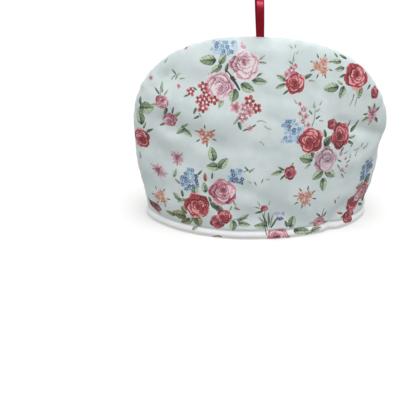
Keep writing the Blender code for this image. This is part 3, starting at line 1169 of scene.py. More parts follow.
def stem_layer(paint, wobble, dabs):
    """Mask and colour of the stems: thin bowed lines."""
    over, under = read_stamps(paint, "stem")

    def on_line(stamp):
        line = (stamp[3] - 0.5) * (1 - stamp[0] * stamp[0])
        off = paint.maths("ABSOLUTE", stamp[1] - line + wobble[1] * 0.05)
        width = paint.choose(stamp[2] > BARK - 0.5, STEM_WIDTH, BARK_WIDTH)
        taper = width / STEM_UNIT / 2 * (1 - stamp[0] * STEM_TAPER)
        return (off < taper) * (paint.maths("ABSOLUTE", stamp[0]) < 1)

    hit = on_line(over)
    low = on_line(under)
    number = paint.choose(hit, under[2], over[2])
    return paint.maths("MAXIMUM", hit, low), inked(paint, LEAF_INKS, number, dabs + STEM_TONE)


# %% Single flowers
BLOOM_LEVEL = 0.33
BLOOM_RIM = 0.30             # lighter at the petals' edges
BLOOM_TINT = 0.18            # from petal to petal
BLOOM_PARTING = 0.46         # darker between two petals
BLOOM_DABS = 0.8
BLOOM_PETALS = (5, 8)        # of the round flowers and of the stars
BLOOM_THIN = (0.6, 0.85)     # a higher power makes a thinner petal
PETAL_LENGTH = 0.66          # the petals' share of the flower's radius


def bloom_shape(paint, stamp):
    """Of a flower: how far out, 1 at the petal's edge, and the petal's own numbers."""
    petals = paint.choose(stamp[2] > STAR - 0.5, *BLOOM_PETALS)
    reach, wave, tint = petal_fan(paint, stamp[0], stamp[1], petals, stamp[3] * 6)
    thin = paint.choose(stamp[2] > STAR - 0.5, *BLOOM_THIN)
    radius = wave ** thin * PETAL_LENGTH + (1 - PETAL_LENGTH)
    return reach / (radius * (1 + tint * 0.10)), reach, wave, tint


def bloom_layer(paint, wobble, dabs):
    """Mask and colour of the single flowers."""
    over, under = read_stamps(paint, "bloom")
    stamp = pick_over(paint, over, under, bloom_shape(paint, over)[0] < 1)
    stamp[0] = stamp[0] + wobble[0] * TREMBLE
    stamp[1] = stamp[1] + wobble[1] * TREMBLE
    edge, reach, wave, tint = bloom_shape(paint, stamp)
    tone = paint.between(edge, 0.40, 0.95) * BLOOM_RIM + tint * BLOOM_TINT + dabs * BLOOM_DABS
    parting = 1 - paint.between(wave, 0.05, 0.60)
    tone = tone + BLOOM_LEVEL - parting * BLOOM_PARTING
    colour = inked(paint, BLOOM_INKS, stamp[2], tone)
    hearts = paint.colour_of(stamp[2], BLOOM_HEARTS)
    colour = paint.blend(reach < wave * 0.16 + 0.15, colour, hearts)
    return edge < 1, colour


# %% Clusters
CLUSTER_LEVEL = 0.34
CLUSTER_RIM = 0.40           # lighter at the petals' edges
CLUSTER_TINT = 0.10          # from petal to petal
CLUSTER_PARTING = 0.35       # darker between two petals
CLUSTER_DABS = 0.7
CLUSTER_EVEN = 0.72          # flowers this far out, as a share of the radius, are all there
HEART_RADIUS = 0.11          # of a tiny flower, in steps from flower to flower


def cluster_layer(paint, flat, wobble, dabs):
    """Mask and colour of the clusters of tiny flowers."""
    over, under = read_stamps(paint, "cluster")
    grown = paint.node("ShaderNodeVectorMath", {"operation": "SCALE"},
                       {0: flat, "Scale": 1 / CLUSTER_STEP})
    random, centre = paint.node("ShaderNodeTexVoronoi", {"voronoi_dimensions": "2D"},
                                {"Vector": grown, "Scale": 1.0, "Randomness": 0.8},
                                output=("Color", "Position"))
    away = paint.node("ShaderNodeVectorMath", {"operation": "SUBTRACT"}, {0: grown, 1: centre})
    x, y = paint.node("ShaderNodeSeparateXYZ", inputs={0: away}, output=("X", "Y"))
    chance, tint = paint.node("ShaderNodeSeparateColor", inputs={0: random},
                              output=("Red", "Green"))

    def in_cluster(stamp):
        share = CLUSTER_STEP / MOST_CLUSTER / stamp[3]
        out = length_of(paint, stamp[0] * CLUSTER_MARGIN - x * share,
                        stamp[1] * CLUSTER_MARGIN - y * share)
        return out < CLUSTER_EVEN + chance * (1 - CLUSTER_EVEN)

    hit = in_cluster(over)
    low = in_cluster(under)
    number = paint.choose(hit, under[2], over[2])
    x = x + wobble[0] * TREMBLE
    y = y + wobble[1] * TREMBLE
    reach, wave, shade = petal_fan(paint, x, y, 5, chance * 6)
    edge = reach / (wave ** 0.6 * 0.38 + 0.34)
    tone = paint.between(edge, 0.3, 0.9) * CLUSTER_RIM + (tint - 0.5) + shade * CLUSTER_TINT
    parting = 1 - paint.between(wave, 0.05, 0.5)
    tone = tone + dabs * CLUSTER_DABS + CLUSTER_LEVEL - parting * CLUSTER_PARTING
    colour = inked(paint, CLUSTER_INKS, number, tone)
    colour = paint.blend(reach < HEART_RADIUS, colour, CLUSTER_HEART)
    return (edge < 1) * paint.maths("MAXIMUM", hit, low), colour


# %% [markdown]
# ## The printed cotton
#
# The ground is not one flat white: it is a cool off-white, a touch uneven where the dye and the wash
# left it. Below the turn of the hem, where the cloth is folded double, it is painted whiter: a
# painted highlight for the light that the hem's band catches. Over it lie the layers of the print,
# stems lowest and single flowers on top, with an ink that lets a little of the cloth through. The
# weave is real relief only close up, so it goes into the bump, as two sets of threads crossing at the
# pitch of a quilting cotton.

# %% Cotton
GROUND = linear(228, 239, 239)
GROUND_SHADE = linear(216, 228, 228)
# painted highlight: the hem's band is painted whiter for the light that it catches
HEM_PAINTED_LIGHT = linear(250, 252, 252)
HEM_TURN = 0.0112            # below this the cloth is double, and its ground is painted whiter
BLOTCH_SIZE = 0.035
TREMBLE_SIZE = 0.0075        # of the waver in the motifs' lines
DAB_SIZE = 0.0022            # of the dabs in the ink, and of the slubs in the yarn
INK_COVER = 0.96             # the share of the cloth that the ink hides
THREAD_PITCH = 0.00055
THREAD_RELIEF = 0.00012


def weave_bump(paint, flat, strength):
    """A plain weave's relief, as a normal."""
    right, up = paint.node("ShaderNodeSeparateXYZ", inputs={0: flat}, output=("X", "Y"))
    turn = math.tau / THREAD_PITCH / 2
    threads = paint.maths("SINE", right * turn) * paint.maths("SINE", up * turn)
    slubs = paint.noise(flat, DAB_SIZE, 3.0)
    height = threads * 0.5 + slubs * 0.8
    inputs = {"Strength": strength, "Distance": THREAD_RELIEF, "Height": height}
    return paint.node("ShaderNodeBump", inputs=inputs)


def cotton(name, printed):
    """The material of the cloth, with or without its print."""
    paint = Paint(name)
    flat = paint.node("ShaderNodeUVMap", {"uv_map": "flat"})
    blotch = paint.noise(flat, BLOTCH_SIZE, 3.0)
    colour = paint.blend(paint.between(blotch, 0.35, 0.65), GROUND_SHADE, GROUND)
    place = paint.node("ShaderNodeTexCoord", output="Object")
    height = paint.node("ShaderNodeSeparateXYZ", inputs={0: place}, output="Z")
    # painted highlight: the hem's band below the turn is painted whiter for the light it catches
    colour = paint.blend(paint.between(height, HEM_TURN + 0.0004, HEM_TURN), colour, HEM_PAINTED_LIGHT)
    if printed:
        tremble = paint.noise(flat, TREMBLE_SIZE, output="Color")
        parts = paint.node("ShaderNodeSeparateColor", inputs={0: tremble},
                           output=("Red", "Green"))
        wobble = [part * 2 - 1 for part in parts]
        dabs = paint.noise(flat, DAB_SIZE, 3.0) - 0.5
        ink = INK_COVER + dabs * 0.12
        for mask, shade in (stem_layer(paint, wobble, dabs), leaf_layer(paint, wobble, dabs),
                            cluster_layer(paint, flat, wobble, dabs),
                            rose_layer(paint, wobble, dabs), bloom_layer(paint, wobble, dabs)):
            colour = paint.blend(mask * ink, colour, shade)
    return paint.surface({"Base Color": colour, "Roughness": 0.78 + blotch * 0.12,
                          "Normal": weave_bump(paint, flat, 0.35), "Specular IOR Level": 0.25,
                          "Sheen Weight": 0.12, "Sheen Roughness": 0.5})


printed_cotton = cotton("printed_cotton", True)
plain_cotton = cotton("plain_cotton", False)

# %% [markdown]
# ## Sewing the two panels
#
# The panels share one way of making and differ in their folds and their print: the back one was cut
# from another stretch of the same cotton. Its inner face is plain cotton above the turned-under hem.
# Three sets of numbers are laid on each mesh: the flat place of every corner, the stamps, and a
# map for texture baking, which spreads the outer face over most of a square.

# %% Motifs of the back panel
BACK_ROSES = (
    (118, 70, 20.0, 1.00, 150, PALE),
    (90, 98, 18.5, 1.00, 330, PALE),
    (-60, 205, 16.5, 1.00, 30, RED),
    (-92, 226, 9.0, 1.00, 200, RED),
    (36, 180, 17.0, 1.00, 80, RED),
    (1, 192, 17.0, 0.80, 100, RED),
    (26, 213, 16.5, 1.00, 310, PALE),
    (-130, 118, 19.0, 1.00, 20, PINK),
    (-99, 92, 18.0, 1.00, 260, RED),
    (-132, 84, 10.0, 1.00, 110, RED),
    (-20, 58, 14.0, 1.00, 10, RED),
    (150, 150, 15.5, 1.00, 180, RED),
    (128, 170, 9.5, 1.00, 60, PINK),
    (-152, 40, 12.0, 1.00, 140, PINK),
    (52, 12, 16.5, 1.05, 320, PINK),
    (-70, 16, 9.0, 1.00, 75, RED),
    (-36, 136, 8.0, 0.85, 60, RED),
    (84, 232, 8.0, 1.00, 270, PINK),
    (150, 22, 9.0, 1.00, 15, RED),
    (70, 140, 7.5, 0.85, 250, RED),
)
BACK_BLOOMS = (
    (100, 66, 7.6, 10, CLARET),
    (88, 72, 7.4, 40, CLARET),
    (76, 76, 7.0, 70, CLARET),
    (92, 56, 7.0, 20, CLARET),
    (66, 100, 7.6, 0, BLUSH),
    (58, 110, 7.0, 30, MAUVE),
    (56, 96, 6.6, 50, CLARET),
    (8, 168, 5.5, 10, BLUSH),
    (2, 160, 4.0, 40, MAUVE),
    (-52, 86, 9.0, 20, STAR),
    (-138, 172, 9.0, 10, STAR),
    (160, 60, 9.0, 50, STAR),
    (24, 140, 9.0, 30, STAR),
    (-84, 190, 6.0, 0, MAUVE),
    (-78, 184, 4.4, 30, BLUSH),
    (-10, 242, 4.4, 0, BLUSH),
    (-4, 236, 3.6, 50, MAUVE),
)
BACK_POSIES = (
    (-66, 163, 6.8, 3, 6.0, CORAL, 6),
    (20, 100, 7.0, 4, 5.6, CORAL, 7),
    (-110, 30, 6.8, 3, 6.0, CORAL, 6),
    (104, 26, 6.4, 3, 5.4, CORAL, 6),
    (118, 206, 6.4, 3, 5.6, CORAL, 6),
)
BACK_CLUSTERS = (
    (141, 97, 14.0, BLUE),
    (-40, 226, 11.0, BLUE),
    (-28, 228, 9.0, BLUE),
    (52, 207, 12.0, BLUE),
    (-154, 138, 11.0, BLUE),
    (-86, 122, 12.0, PALE_BLUE),
    (-8, 20, 8.5, PALE_BLUE),
)
BACK_LEAVES = (
    (143, 70, 10.0, 1.4, 0, GREEN),
    (122, 45, 10.0, 1.4, -75, GREEN),
    (104, 118, 10.0, 1.3, 80, GREEN),
    (70, 88, 8.0, 1.0, 190, GREEN),
    (108, 88, 7.0, 1.4, 40, DARK),
    (-38, 204, 9.0, 1.4, 0, GREEN),
    (-70, 185, 9.0, 1.4, 250, GREEN),
    (-56, 225, 8.0, 1.2, 95, GREEN),
    (-105, 216, 8.0, 1.1, 200, GREEN),
    (-79, 217, 7.0, 1.0, 150, DARK),
    (18, 172, 7.0, 1.4, 230, DARK),
    (38, 158, 10.0, 1.3, -85, GREEN),
    (57, 175, 9.0, 1.3, -20, GREEN),
    (-18, 184, 8.0, 1.3, 200, GREEN),
    (4, 214, 8.0, 1.1, 140, GREEN),
    (28, 234, 8.0, 1.1, 90, SAGE),
    (-152, 104, 9.0, 1.3, 210, GREEN),
    (-113, 139, 9.0, 1.2, 70, GREEN),
    (-96, 70, 9.0, 1.3, -80, GREEN),
    (-78, 98, 9.0, 1.3, 10, GREEN),
    (-114, 101, 7.0, 1.4, 120, DARK),
    (-146, 80, 7.0, 1.1, 190, SAGE),
    (-38, 51, 8.0, 1.3, 200, GREEN),
    (-14, 40, 9.0, 1.2, -70, GREEN),
    (-4, 68, 7.0, 1.0, 50, GREEN),
    (133, 139, 9.0, 1.3, 210, GREEN),
    (156, 130, 8.0, 1.2, -70, GREEN),
    (147, 171, 8.0, 1.2, 80, SAGE),
    (-136, 33, 8.0, 1.2, -30, OLIVE),
    (-150, 56, 8.0, 1.0, 100, OLIVE),
    (34, 22, 8.0, 1.3, 160, GREEN),
    (73, 15, 10.0, 1.0, 10, GREEN),
    (50, 34, 9.0, 0.4, 95, DARK),
    (44, 33, 8.0, 0.4, 125, GREEN),
    (57, 33, 8.0, 0.4, 75, DARK),
    (-57, 10, 8.0, 1.2, -10, GREEN),
    (-82, 22, 8.0, 1.0, 160, GREEN),
    (-28, 146, 6.0, 0.9, 60, SAGE),
    (-46, 129, 7.0, 0.8, 210, SAGE),
    (-41, 146, 5.0, 0.8, 110, DARK),
    (84, 245, 6.0, 0.8, 85, DARK),
    (74, 224, 6.0, 0.9, 210, GREEN),
    (96, 224, 6.0, 0.9, -30, GREEN),
    (-62, 86, 4.0, 0.8, 180, DARK),
    (-46, 77, 4.0, 0.8, -60, DARK),
    (-48, 96, 4.0, 0.8, 70, SAGE),
    (-128, 176, 4.0, 0.8, 30, DARK),
    (-145, 180, 4.0, 0.8, 120, DARK),
    (-140, 161, 4.0, 0.8, 250, SAGE),
    (34, 145, 4.0, 0.8, 30, DARK),
    (15, 146, 4.0, 0.8, 140, DARK),
    (24, 129, 4.0, 0.8, -80, SAGE),
    (-7, 133, 9.0, 1.4, 170, GREEN),
    (4, 124, 8.5, 1.4, 260, GREEN),
    (-1, 145, 8.5, 1.4, 60, GREEN),
    (76, 150, 6.0, 0.9, 60, SAGE),
    (60, 134, 7.0, 0.8, 210, DARK),
    (138, 17, 6.0, 0.8, 190, OLIVE),
    (52, 128, 5.0, 0.9, 95, RUST),
    (0, 168, 4.0, 0.8, 150, DARK),
    (14, 161, 4.0, 0.8, -40, SAGE),
    (-92, 193, 4.0, 0.8, 140, DARK),
    (-74, 177, 4.0, 0.8, -60, DARK),
    (-16, 238, 4.0, 0.8, 200, SAGE),
    (-4, 247, 4.0, 0.8, 60, DARK),
    (96, 46, 4.4, 0.8, 250, DARK),
    (104, 52, 4.0, 0.8, -50, SAGE),
    (50, 88, 4.4, 0.8, 220, DARK),
    (-98, 130, 4.6, 0.8, 120, SAGE),
    (-74, 130, 4.6, 0.8, 40, SAGE),
    (0, 12, 4.6, 0.8, -30, SAGE),
    (-60, 60, 3.6, 0.6, 40, DARK),
    (-54, 56, 3.4, 0.6, -20, SAGE),
    (88, 180, 3.6, 0.6, 30, DARK),
    (96, 176, 3.4, 0.6, -30, SAGE),
)
BACK_STEMS = (
    (102, 88, 114, 78, 0.10, BARK),
    (-72, 215, -60, 204, 0.10, DARK),
    (-7, 127, 2, 141, 0.10, GREEN),
    (-12, 120, 12, 122, 0.15, SAGE),
    (-30, 104, -20, 112, 0.25, SAGE),
    (-16, 110, -8, 102, -0.25, SAGE),
    (70, 44, 78, 50, 0.30, SAGE),
    (-60, 44, -52, 38, 0.30, SAGE),
    (48, 14, 44, 40, 0.10, DARK),
    (-36, 128, -30, 112, 0.15, SAGE),
    (70, 134, 74, 116, -0.15, SAGE),
    (-112, 168, -104, 176, 0.25, SAGE),
    (-98, 170, -90, 162, -0.25, SAGE),
    (90, 184, 102, 174, 0.25, SAGE),
    (60, 60, 70, 66, 0.25, DARK),
)

# %% Flat places and the baking map
BAKE_SPAN = 0.41             # metres of flat cloth across the baking map
BAKE_LIFT = 0.27             # where the outer face starts in it
HEM_SPACE = 0.02             # kept free below that, for the cloth of the hem
INNER_SHARE = 0.32           # the inner face's scale beside the outer one's
INNER_PLACE = (-0.4, 0.04)   # where it lies, in metres of its flat cloth
INNER_LIFT = 0.02
TURNED_PLACE = 0.0175        # how far below 0, 0 the turned-up cloth starts on the flat cloth


def flat_of_face(p, q, row, inner):
    """The flat places of one face's vertices."""
    right, up = flat_places(p, q)
    if not inner:
        return right, up - below_hem(row)
    height = HEM_HEIGHT - below_hem(row)
    return right, np.where(row < HEM_ROWS, -TURNED_PLACE - height, up)


def bake_places(right, up, scale, low):
    """Places in the baking map, 0 to 1."""
    return np.stack([0.5 + right * scale / BAKE_SPAN, low + up * scale / BAKE_SPAN], -1)


def rim_partners(quads, rim, outer_count):
    """For each vertex of the inner rim, the vertex of the outer rim that it is bridged to."""
    partner = np.arange(quads.max() + 1)
    for quad in quads[rim]:
        for place in range(4):
            other = quad[(place + 1) % 4]
            if quad[place] >= outer_count > other:
                partner[quad[place]] = other
            if other >= outer_count > quad[place]:
                partner[other] = quad[place]
    return partner


def bake_map(flat, quads, outer_count):
    """The outer face large, the inner one small beside it, and the rim as a border round it."""
    is_inner = quads >= outer_count
    inner_corners = is_inner.sum(axis=1)
    rim = (inner_corners > 0) & (inner_corners < 4)
    outer = bake_places(flat[:, 0], flat[:, 1] + HEM_SPACE, 1.0, BAKE_LIFT)
    inner = bake_places(flat[:, 0] + INNER_PLACE[0], flat[:, 1] + INNER_PLACE[1],
                        INNER_SHARE, INNER_LIFT)
    outward = outer - np.array([0.5, outer[:, 1].mean()])
    outward /= np.linalg.norm(outward, axis=1)[:, None]
    nearest = rim_partners(quads, rim, outer_count)
    beyond = outer[nearest] + outward[nearest] * WALL / BAKE_SPAN
    baked = np.where((inner_corners == 4)[:, None, None], inner[quads], outer[quads])
    return np.where((rim[:, None] & is_inner)[..., None], beyond[quads], baked)


# %% Laying the numbers on a mesh
def read_corners(data):
    """For every face, its corners' numbers in the mesh and the vertex at each."""
    corner_vert = np.zeros(len(data.loops), int)
    data.loops.foreach_get("vertex_index", corner_vert)
    first_corner = np.zeros(len(data.polygons), int)
    data.polygons.foreach_get("loop_start", first_corner)
    corners = first_corner[:, None] + np.arange(4)
    return corners, corner_vert[corners]


def spread(data, corners, values, elsewhere):
    """The values of some faces' corners, as one row for every corner of the mesh."""
    rows = np.full((len(data.loops), values.shape[-1]), elsewhere, np.float32)
    rows[corners.ravel()] = values.reshape(-1, values.shape[-1])
    return rows.ravel()


def lay_numbers(data, faces, motifs, facing):
    """Adds the flat places, the baking map and the stamps to a panel's mesh."""
    flat = np.concatenate([np.stack(flat_of_face(p, q, row, inner), -1)
                           for inner, (_, p, q, row) in enumerate(faces)])
    flat[:, 0] *= -facing                      # right is right as seen from outside, on either panel
    rows = np.concatenate([face[3] for face in faces])
    outer_count = len(faces[0][0])
    corners, quads = read_corners(data)
    maps = {"flat": flat[quads], "OFBake": bake_map(flat, quads, outer_count)}
    for name, places in maps.items():
        layer = data.uv_layers.new(name=name, do_init=False)
        layer.data.foreach_set("uv", spread(data, corners, places, 0.0))

    inner_corners = (quads >= outer_count).sum(axis=1)
    in_hem = (rows[quads] < HEM_ROWS).any(axis=1)
    printed = np.flatnonzero((inner_corners == 0) | ((inner_corners == 4) & in_hem))
    panel = PrintedPanel(flat[quads[printed]])
    print_motifs(panel, *motifs)
    for name, stamped in panel.layers.items():
        layer = data.attributes.new(name, "FLOAT_VECTOR", "CORNER")
        layer.data.foreach_set("vector", spread(data, corners[printed], stamped, FAR_AWAY))
    plain = (inner_corners == 4) & ~in_hem
    data.polygons.foreach_set("material_index", plain.astype(np.int32))
    return {name: int((near < FAR_AWAY).sum()) for name, near in panel.nearness.items()}


# %% Make both panels
def make_piece(mesh, name, *materials):
    """Turns a finished bmesh into a smooth object with its materials."""
    data = bpy.data.meshes.new(name)
    mesh.to_mesh(data)
    mesh.free()
    data.shade_smooth()
    for material in materials:
        data.materials.append(material)
    piece = bpy.data.objects.new(name, data)
    bpy.context.scene.collection.objects.link(piece)
    return piece


def build_panel(name, facing, folds, motifs):
    """A panel, the places of its outer face and their rows in the grid."""
    mesh, faces = panel_mesh(facing, folds)
    bmesh.ops.bridge_loops(mesh, edges=[edge for edge in mesh.edges if edge.is_boundary])
    bmesh.ops.recalc_face_normals(mesh, faces=mesh.faces)
    outer = [vert.co.copy() for vert in faces[0][0]]
    piece = make_piece(mesh, name, printed_cotton, plain_cotton)
    stamped = lay_numbers(piece.data, faces, motifs, facing)
    print(name, "has", len(piece.data.polygons), "faces; stamped faces:", stamped)
    return piece, outer, faces[0][3]


front, front_outer, grid_rows = build_panel(
    "front_cotton_panel", -1, FRONT_FOLDS + FRONT_CREASES,
    (FRONT_ROSES, FRONT_BLOOMS, FRONT_POSIES, FRONT_CLUSTERS, FRONT_LEAVES, FRONT_STEMS))
back, back_outer, _ = build_panel(
    "back_cotton_panel", 1, BACK_FOLDS,
    (BACK_ROSES, BACK_BLOOMS, BACK_POSIES, BACK_CLUSTERS, BACK_LEAVES, BACK_STEMS))

# %% [markdown]
# ## The hanging loop
#
# The loop is one length of satin ribbon, folded in half and caught in the seam, so that its two legs
# stand one behind the other and spread into a narrow drop. A flat grid bent along the loop's middle
# line and given its thickness by Solidify is all that it needs. Its edges curl a little, as satin's
# do.

# %% The ribbon's sizes and its line
RIBBON_WIDTH = 0.010
RIBBON_THICKNESS = 0.0006
LOOP_TOP = 0.3065
LOOP_SWELL = 0.0105          # sets how far the two legs spread
LOOP_LEG_OFFSET = 0.0007     # half the distance of the legs where they enter the seam
LOOP_PLACE = -0.0058         # where its foot is sewn in, a little left of the middle
LOOP_LEAN = -0.07            # how far it leans to the right, per metre of height
SUNK = 0.0022                # how far the legs reach down into the seam
RIBBON_CURL = 0.0006         # how far its edges curl
RIBBON_STEPS = 72
RIBBON_COLUMNS = 8
SELVEDGE = (0.44, 0.47)      # where it starts and is full, as shares of the ribbon's width
RIB_PITCH = 0.0005
CORD_PITCH = 0.0008          # of the selvedge's cords
FLOAT_SIZE = 0.004           # of the streaks that the long satin threads make
FLOAT_SCALE = (9, 0.6)       # they are much finer across the ribbon than along it
SATIN_RED = (linear(134, 14, 30), linear(160, 20, 40))
# the edges' darker ink is painted shade, standing in for the shading of the ribbon's cupped edges
SELVEDGE_RED_WITH_PAINTED_SHADE = linear(92, 6, 18)
GLOSS_RED = linear(255, 110, 140)


def loop_line(turn):
    """The ribbon's middle line, y and z: turn 0 at the front leg's foot, 1 at the back one's."""
    angle = math.tau * turn
    foot = COSY_HEIGHT - SEAM_DIP - SUNK
    spread = LOOP_SWELL * math.sin(angle) * math.sin(angle / 2) ** 1.5
    y = -spread - LOOP_LEG_OFFSET * math.cos(angle / 2)
    return y, foot + (LOOP_TOP - foot) * (1 - math.cos(angle)) / 2


# %% Satin
def satin():
    """Floats run along the ribbon, and its selvedge is a dull, finely corded line, darkened with
    painted shade.
    """
    paint = Paint("satin_ribbon")
    flat = paint.node("ShaderNodeUVMap", {"uv_map": "flat"})
    across, along = paint.node("ShaderNodeSeparateXYZ", inputs={0: flat}, output=("X", "Y"))
    start, full = SELVEDGE
    edge = paint.between(paint.maths("ABSOLUTE", across), RIBBON_WIDTH * start, RIBBON_WIDTH * full)
    stretched = {0: across * FLOAT_SCALE[0], 1: along * FLOAT_SCALE[1]}
    floats = paint.node("ShaderNodeCombineXYZ", inputs=stretched)
    streak = paint.noise(floats, FLOAT_SIZE, 3.0)
    colour = paint.blend(paint.between(streak, 0.3, 0.7), *SATIN_RED)
    # painted shade: the ribbon's edges are darkened as its cupped edges would be shaded
    colour = paint.blend(edge * 0.7, colour, SELVEDGE_RED_WITH_PAINTED_SHADE)
    ribs = paint.maths("SINE", across * (math.tau / RIB_PITCH)) * 0.4
    cords = paint.maths("SINE", along * (math.tau / CORD_PITCH)) * edge
    height = ribs + cords + streak * 0.5
    relief = paint.node("ShaderNodeBump", inputs={"Strength": 0.25, "Distance": 0.0001,
                                                  "Height": height})
    return paint.surface({"Base Color": colour, "Roughness": 0.22 + streak * 0.08 + edge * 0.2,
                          "Normal": relief, "Specular IOR Level": 0.35,
                          "Specular Tint": GLOSS_RED})


# %% Make the loop
def build_ribbon():
    """The loop, and the length of ribbon in it."""
    mesh = bmesh.new()
    made = bmesh.ops.create_grid(mesh, x_segments=RIBBON_COLUMNS, y_segments=RIBBON_STEPS, size=1.0)
    line = [loop_line(step / RIBBON_STEPS) for step in range(RIBBON_STEPS + 1)]
    lengths = [0.0]
    for place, following in zip(line, line[1:]):
        lengths.append(lengths[-1] + math.dist(place, following))
    flat = {}
    for vert in made["verts"]:
        across = vert.co.x
        step = round((vert.co.y + 1) / 2 * RIBBON_STEPS)
        y, z = line[step]
        flat[vert] = (across * RIBBON_WIDTH / 2, lengths[step])
        upper = math.sin(math.pi * step / RIBBON_STEPS)
        curl = RIBBON_CURL * across ** 2 * upper * math.cos(math.pi * step / RIBBON_STEPS)
        x = LOOP_PLACE + across * RIBBON_WIDTH / 2
        vert.co = (x + LOOP_LEAN * (z - COSY_HEIGHT), y + curl, z - TOP_TILT * x)
    layer = mesh.loops.layers.uv.new("flat")
    for face in mesh.faces:
        for corner in face.loops:
            corner[layer].uv = flat[corner.vert]
    piece = make_piece(mesh, "satin_loop", satin())
    wall = piece.modifiers.new("thickness", "SOLIDIFY")
    wall.thickness = RIBBON_THICKNESS
    wall.offset = 0.0
    wall.use_even_offset = True
    return piece, lengths[-1]


ribbon, ribbon_length = build_ribbon()
print("ribbon, mm:", round(1000 * RIBBON_WIDTH, 1), "x", round(1000 * ribbon_length, 1))

# %% [markdown]
# ## The stitches of the hem
#
# A lockstitch shows as a row of short threads that dip into the cloth at both ends. Each is a small
# sphere with few faces, stretched along the hem line and sunk halfway into the groove that it pulls.
# A loop sets them into one mesh, along the row that the panel's grid keeps for them.

# %% Thread
STITCH_LENGTH = 0.0027
STITCH_SPACE = 0.0009
THREAD_RADIUS = 0.00027
STITCH_PROUD = 0.0001        # how far a stitch's middle stands out of the hem line
TWIST_SCALE = 2500.0         # of the noise in the thread's colour
ROLL = Vector((0, 0, 1)).rotation_difference(Vector((1, 0, 0))).to_matrix()   # poles to the ends


def thread():
    """Cotton thread, uneven where its strands twist."""
    paint = Paint("white_thread")
    place = paint.node("ShaderNodeTexCoord", output="Object")
    twist = paint.node("ShaderNodeTexNoise", {}, {"Vector": place, "Scale": TWIST_SCALE})
    colour = paint.blend(twist, linear(214, 218, 216), linear(244, 246, 244))
    return paint.surface({"Base Color": colour, "Roughness": 0.5 + twist * 0.2})


# %% Sew the hems
def add_stitch(mesh, start, end, facing):
    """One thread from start to end, proud of the cloth."""
    along = (end - start).normalized()
    turn = along.to_track_quat("X", "Z").to_matrix().to_4x4()
    outward = Vector((along.y, -along.x, 0)) * (-facing)
    middle = (start + end) / 2 + outward * STITCH_PROUD
    made = bmesh.ops.create_uvsphere(mesh, u_segments=8, v_segments=6, radius=1.0)["verts"]
    bmesh.ops.rotate(mesh, verts=made, matrix=ROLL)
    bmesh.ops.scale(mesh, verts=made, vec=(STITCH_LENGTH / 2, THREAD_RADIUS, THREAD_RADIUS))
    bmesh.ops.transform(mesh, verts=made, matrix=turn)
    bmesh.ops.translate(mesh, verts=made, vec=middle)


def stitches(name, outer, rows, facing, material):
    """A row of stitches along a panel's hem line."""
    line = [place for place, row in zip(outer, rows) if row == STITCH_ROW]
    line.sort(key=lambda place: place.x)
    reach = np.concatenate([[0], np.cumsum([(b - a).length for a, b in zip(line, line[1:])])])
    count = int(reach[-1] / (STITCH_LENGTH + STITCH_SPACE))

    def on_line(along):
        return Vector([np.interp(along, reach, [place[axis] for place in line])
                       for axis in range(3)])

    mesh = bmesh.new()
    for number in range(count):
        middle = (number + 0.5) / count * reach[-1]
        start, end = [on_line(middle + half * STITCH_LENGTH) for half in (-0.5, 0.5)]
        add_stitch(mesh, start, end, facing)
    print(name, "has", count, "stitches")
    return make_piece(mesh, name, material)


white_thread = thread()
front_stitches = stitches("front_hem_stitches", front_outer, grid_rows, -1, white_thread)
back_stitches = stitches("back_hem_stitches", back_outer, grid_rows, 1, white_thread)

# %% [markdown]
# ## Floor, light and camera
#
# The cosy stands on a pale table in soft light, most of it from above, so that the top of the dome
# is bright and its wall is a little greyer. A white sky fills the shadows, and one large lamp gives
# the folds their shape. The table throws no light back, or the foot of the wall would glow where
# it should grow dim. A small lamp in front is there for gloss alone: it hardly shows on the cotton
# and gives the satin its bright band. The camera looks down on the cosy from about an arm's
# length.

# %% Floor and sky
FLOOR_REACH = 5.0            # from the middle to each side
CLOUD_SCALE = 2.0            # of the floor's faint unevenness
SKY_STRENGTH = 0.50
WHITE = (1.0, 1.0, 1.0, 1.0)


def pale_floor():
    """A matt white table top."""
    paint = Paint("pale_floor")
    place = paint.node("ShaderNodeTexCoord", output="Object")
    cloud = paint.node("ShaderNodeTexNoise", {}, {"Vector": place, "Scale": CLOUD_SCALE})
    colour = paint.blend(cloud, linear(244, 244, 243), linear(248, 248, 247))
    return paint.surface({"Base Color": colour, "Roughness": 0.9, "Specular IOR Level": 0.1})


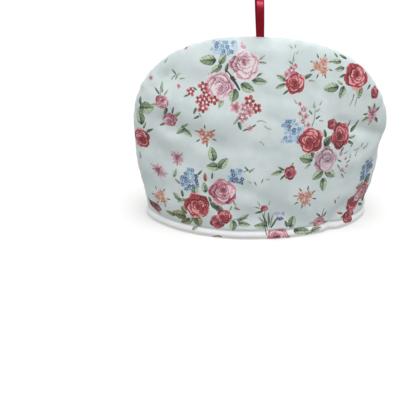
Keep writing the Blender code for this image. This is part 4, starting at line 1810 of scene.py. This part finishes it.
mesh = bmesh.new()
bmesh.ops.create_grid(mesh, x_segments=1, y_segments=1, size=FLOOR_REACH)
floor = make_piece(mesh, "floor", pale_floor())
floor.visible_diffuse = False

world = bpy.data.worlds.new("studio")
world.use_nodes = True
sky = world.node_tree.nodes["Background"]
sky.inputs["Color"].default_value = WHITE
sky.inputs["Strength"].default_value = SKY_STRENGTH
bpy.context.scene.world = world


# %% Lamps
def soft_sun(name, towards, spread, strength, lights_matt=True):
    """Light from one side of the room: towards points to the lamp, and spread is in degrees."""
    lamp = bpy.data.lights.new(name, "SUN")
    lamp.angle = math.radians(spread)
    lamp.energy = strength
    holder = bpy.data.objects.new(name, lamp)
    holder.rotation_euler = Vector(towards).to_track_quat("Z", "Y").to_euler()
    holder.visible_diffuse = lights_matt
    bpy.context.scene.collection.objects.link(holder)


soft_sun("overhead", towards=(0.02, -0.12, 1.0), spread=45, strength=2.05)
soft_sun("shine", towards=(0.117, -1.0, -0.02), spread=13, strength=6.5, lights_matt=False)

# %% Camera
CAMERA_PLACE = (-0.0916, -0.735, 0.4293)
CAMERA_AIM = (0.0128, 0.8733, -0.487)
FOCAL_LENGTH = 52.56         # in millimetres, on a 36 mm sensor
lens = bpy.data.cameras.new("camera")
lens.lens = FOCAL_LENGTH
lens.sensor_width = 36.0
camera = bpy.data.objects.new("camera", lens)
camera.location = CAMERA_PLACE
camera.rotation_euler = Vector(CAMERA_AIM).to_track_quat("-Z", "Y").to_euler()
bpy.context.scene.collection.objects.link(camera)
bpy.context.scene.camera = camera
bpy.context.scene.view_settings.view_transform = "Standard"
print("camera, mm from the middle of the hem:", round(1000 * Vector(CAMERA_PLACE).length))

# %% [markdown]
# ## Handing the pieces to the frame
#
# Nothing on a cosy turns or slides, so every piece rides on the one body. The panels and the ribbon
# stand for the plain solids of the imported model, which are hidden.

for piece in (front, back, ribbon, front_stitches, back_stitches):
    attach(piece, "root")
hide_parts("front_panel")
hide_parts("back_panel")
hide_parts("hanging_loop")
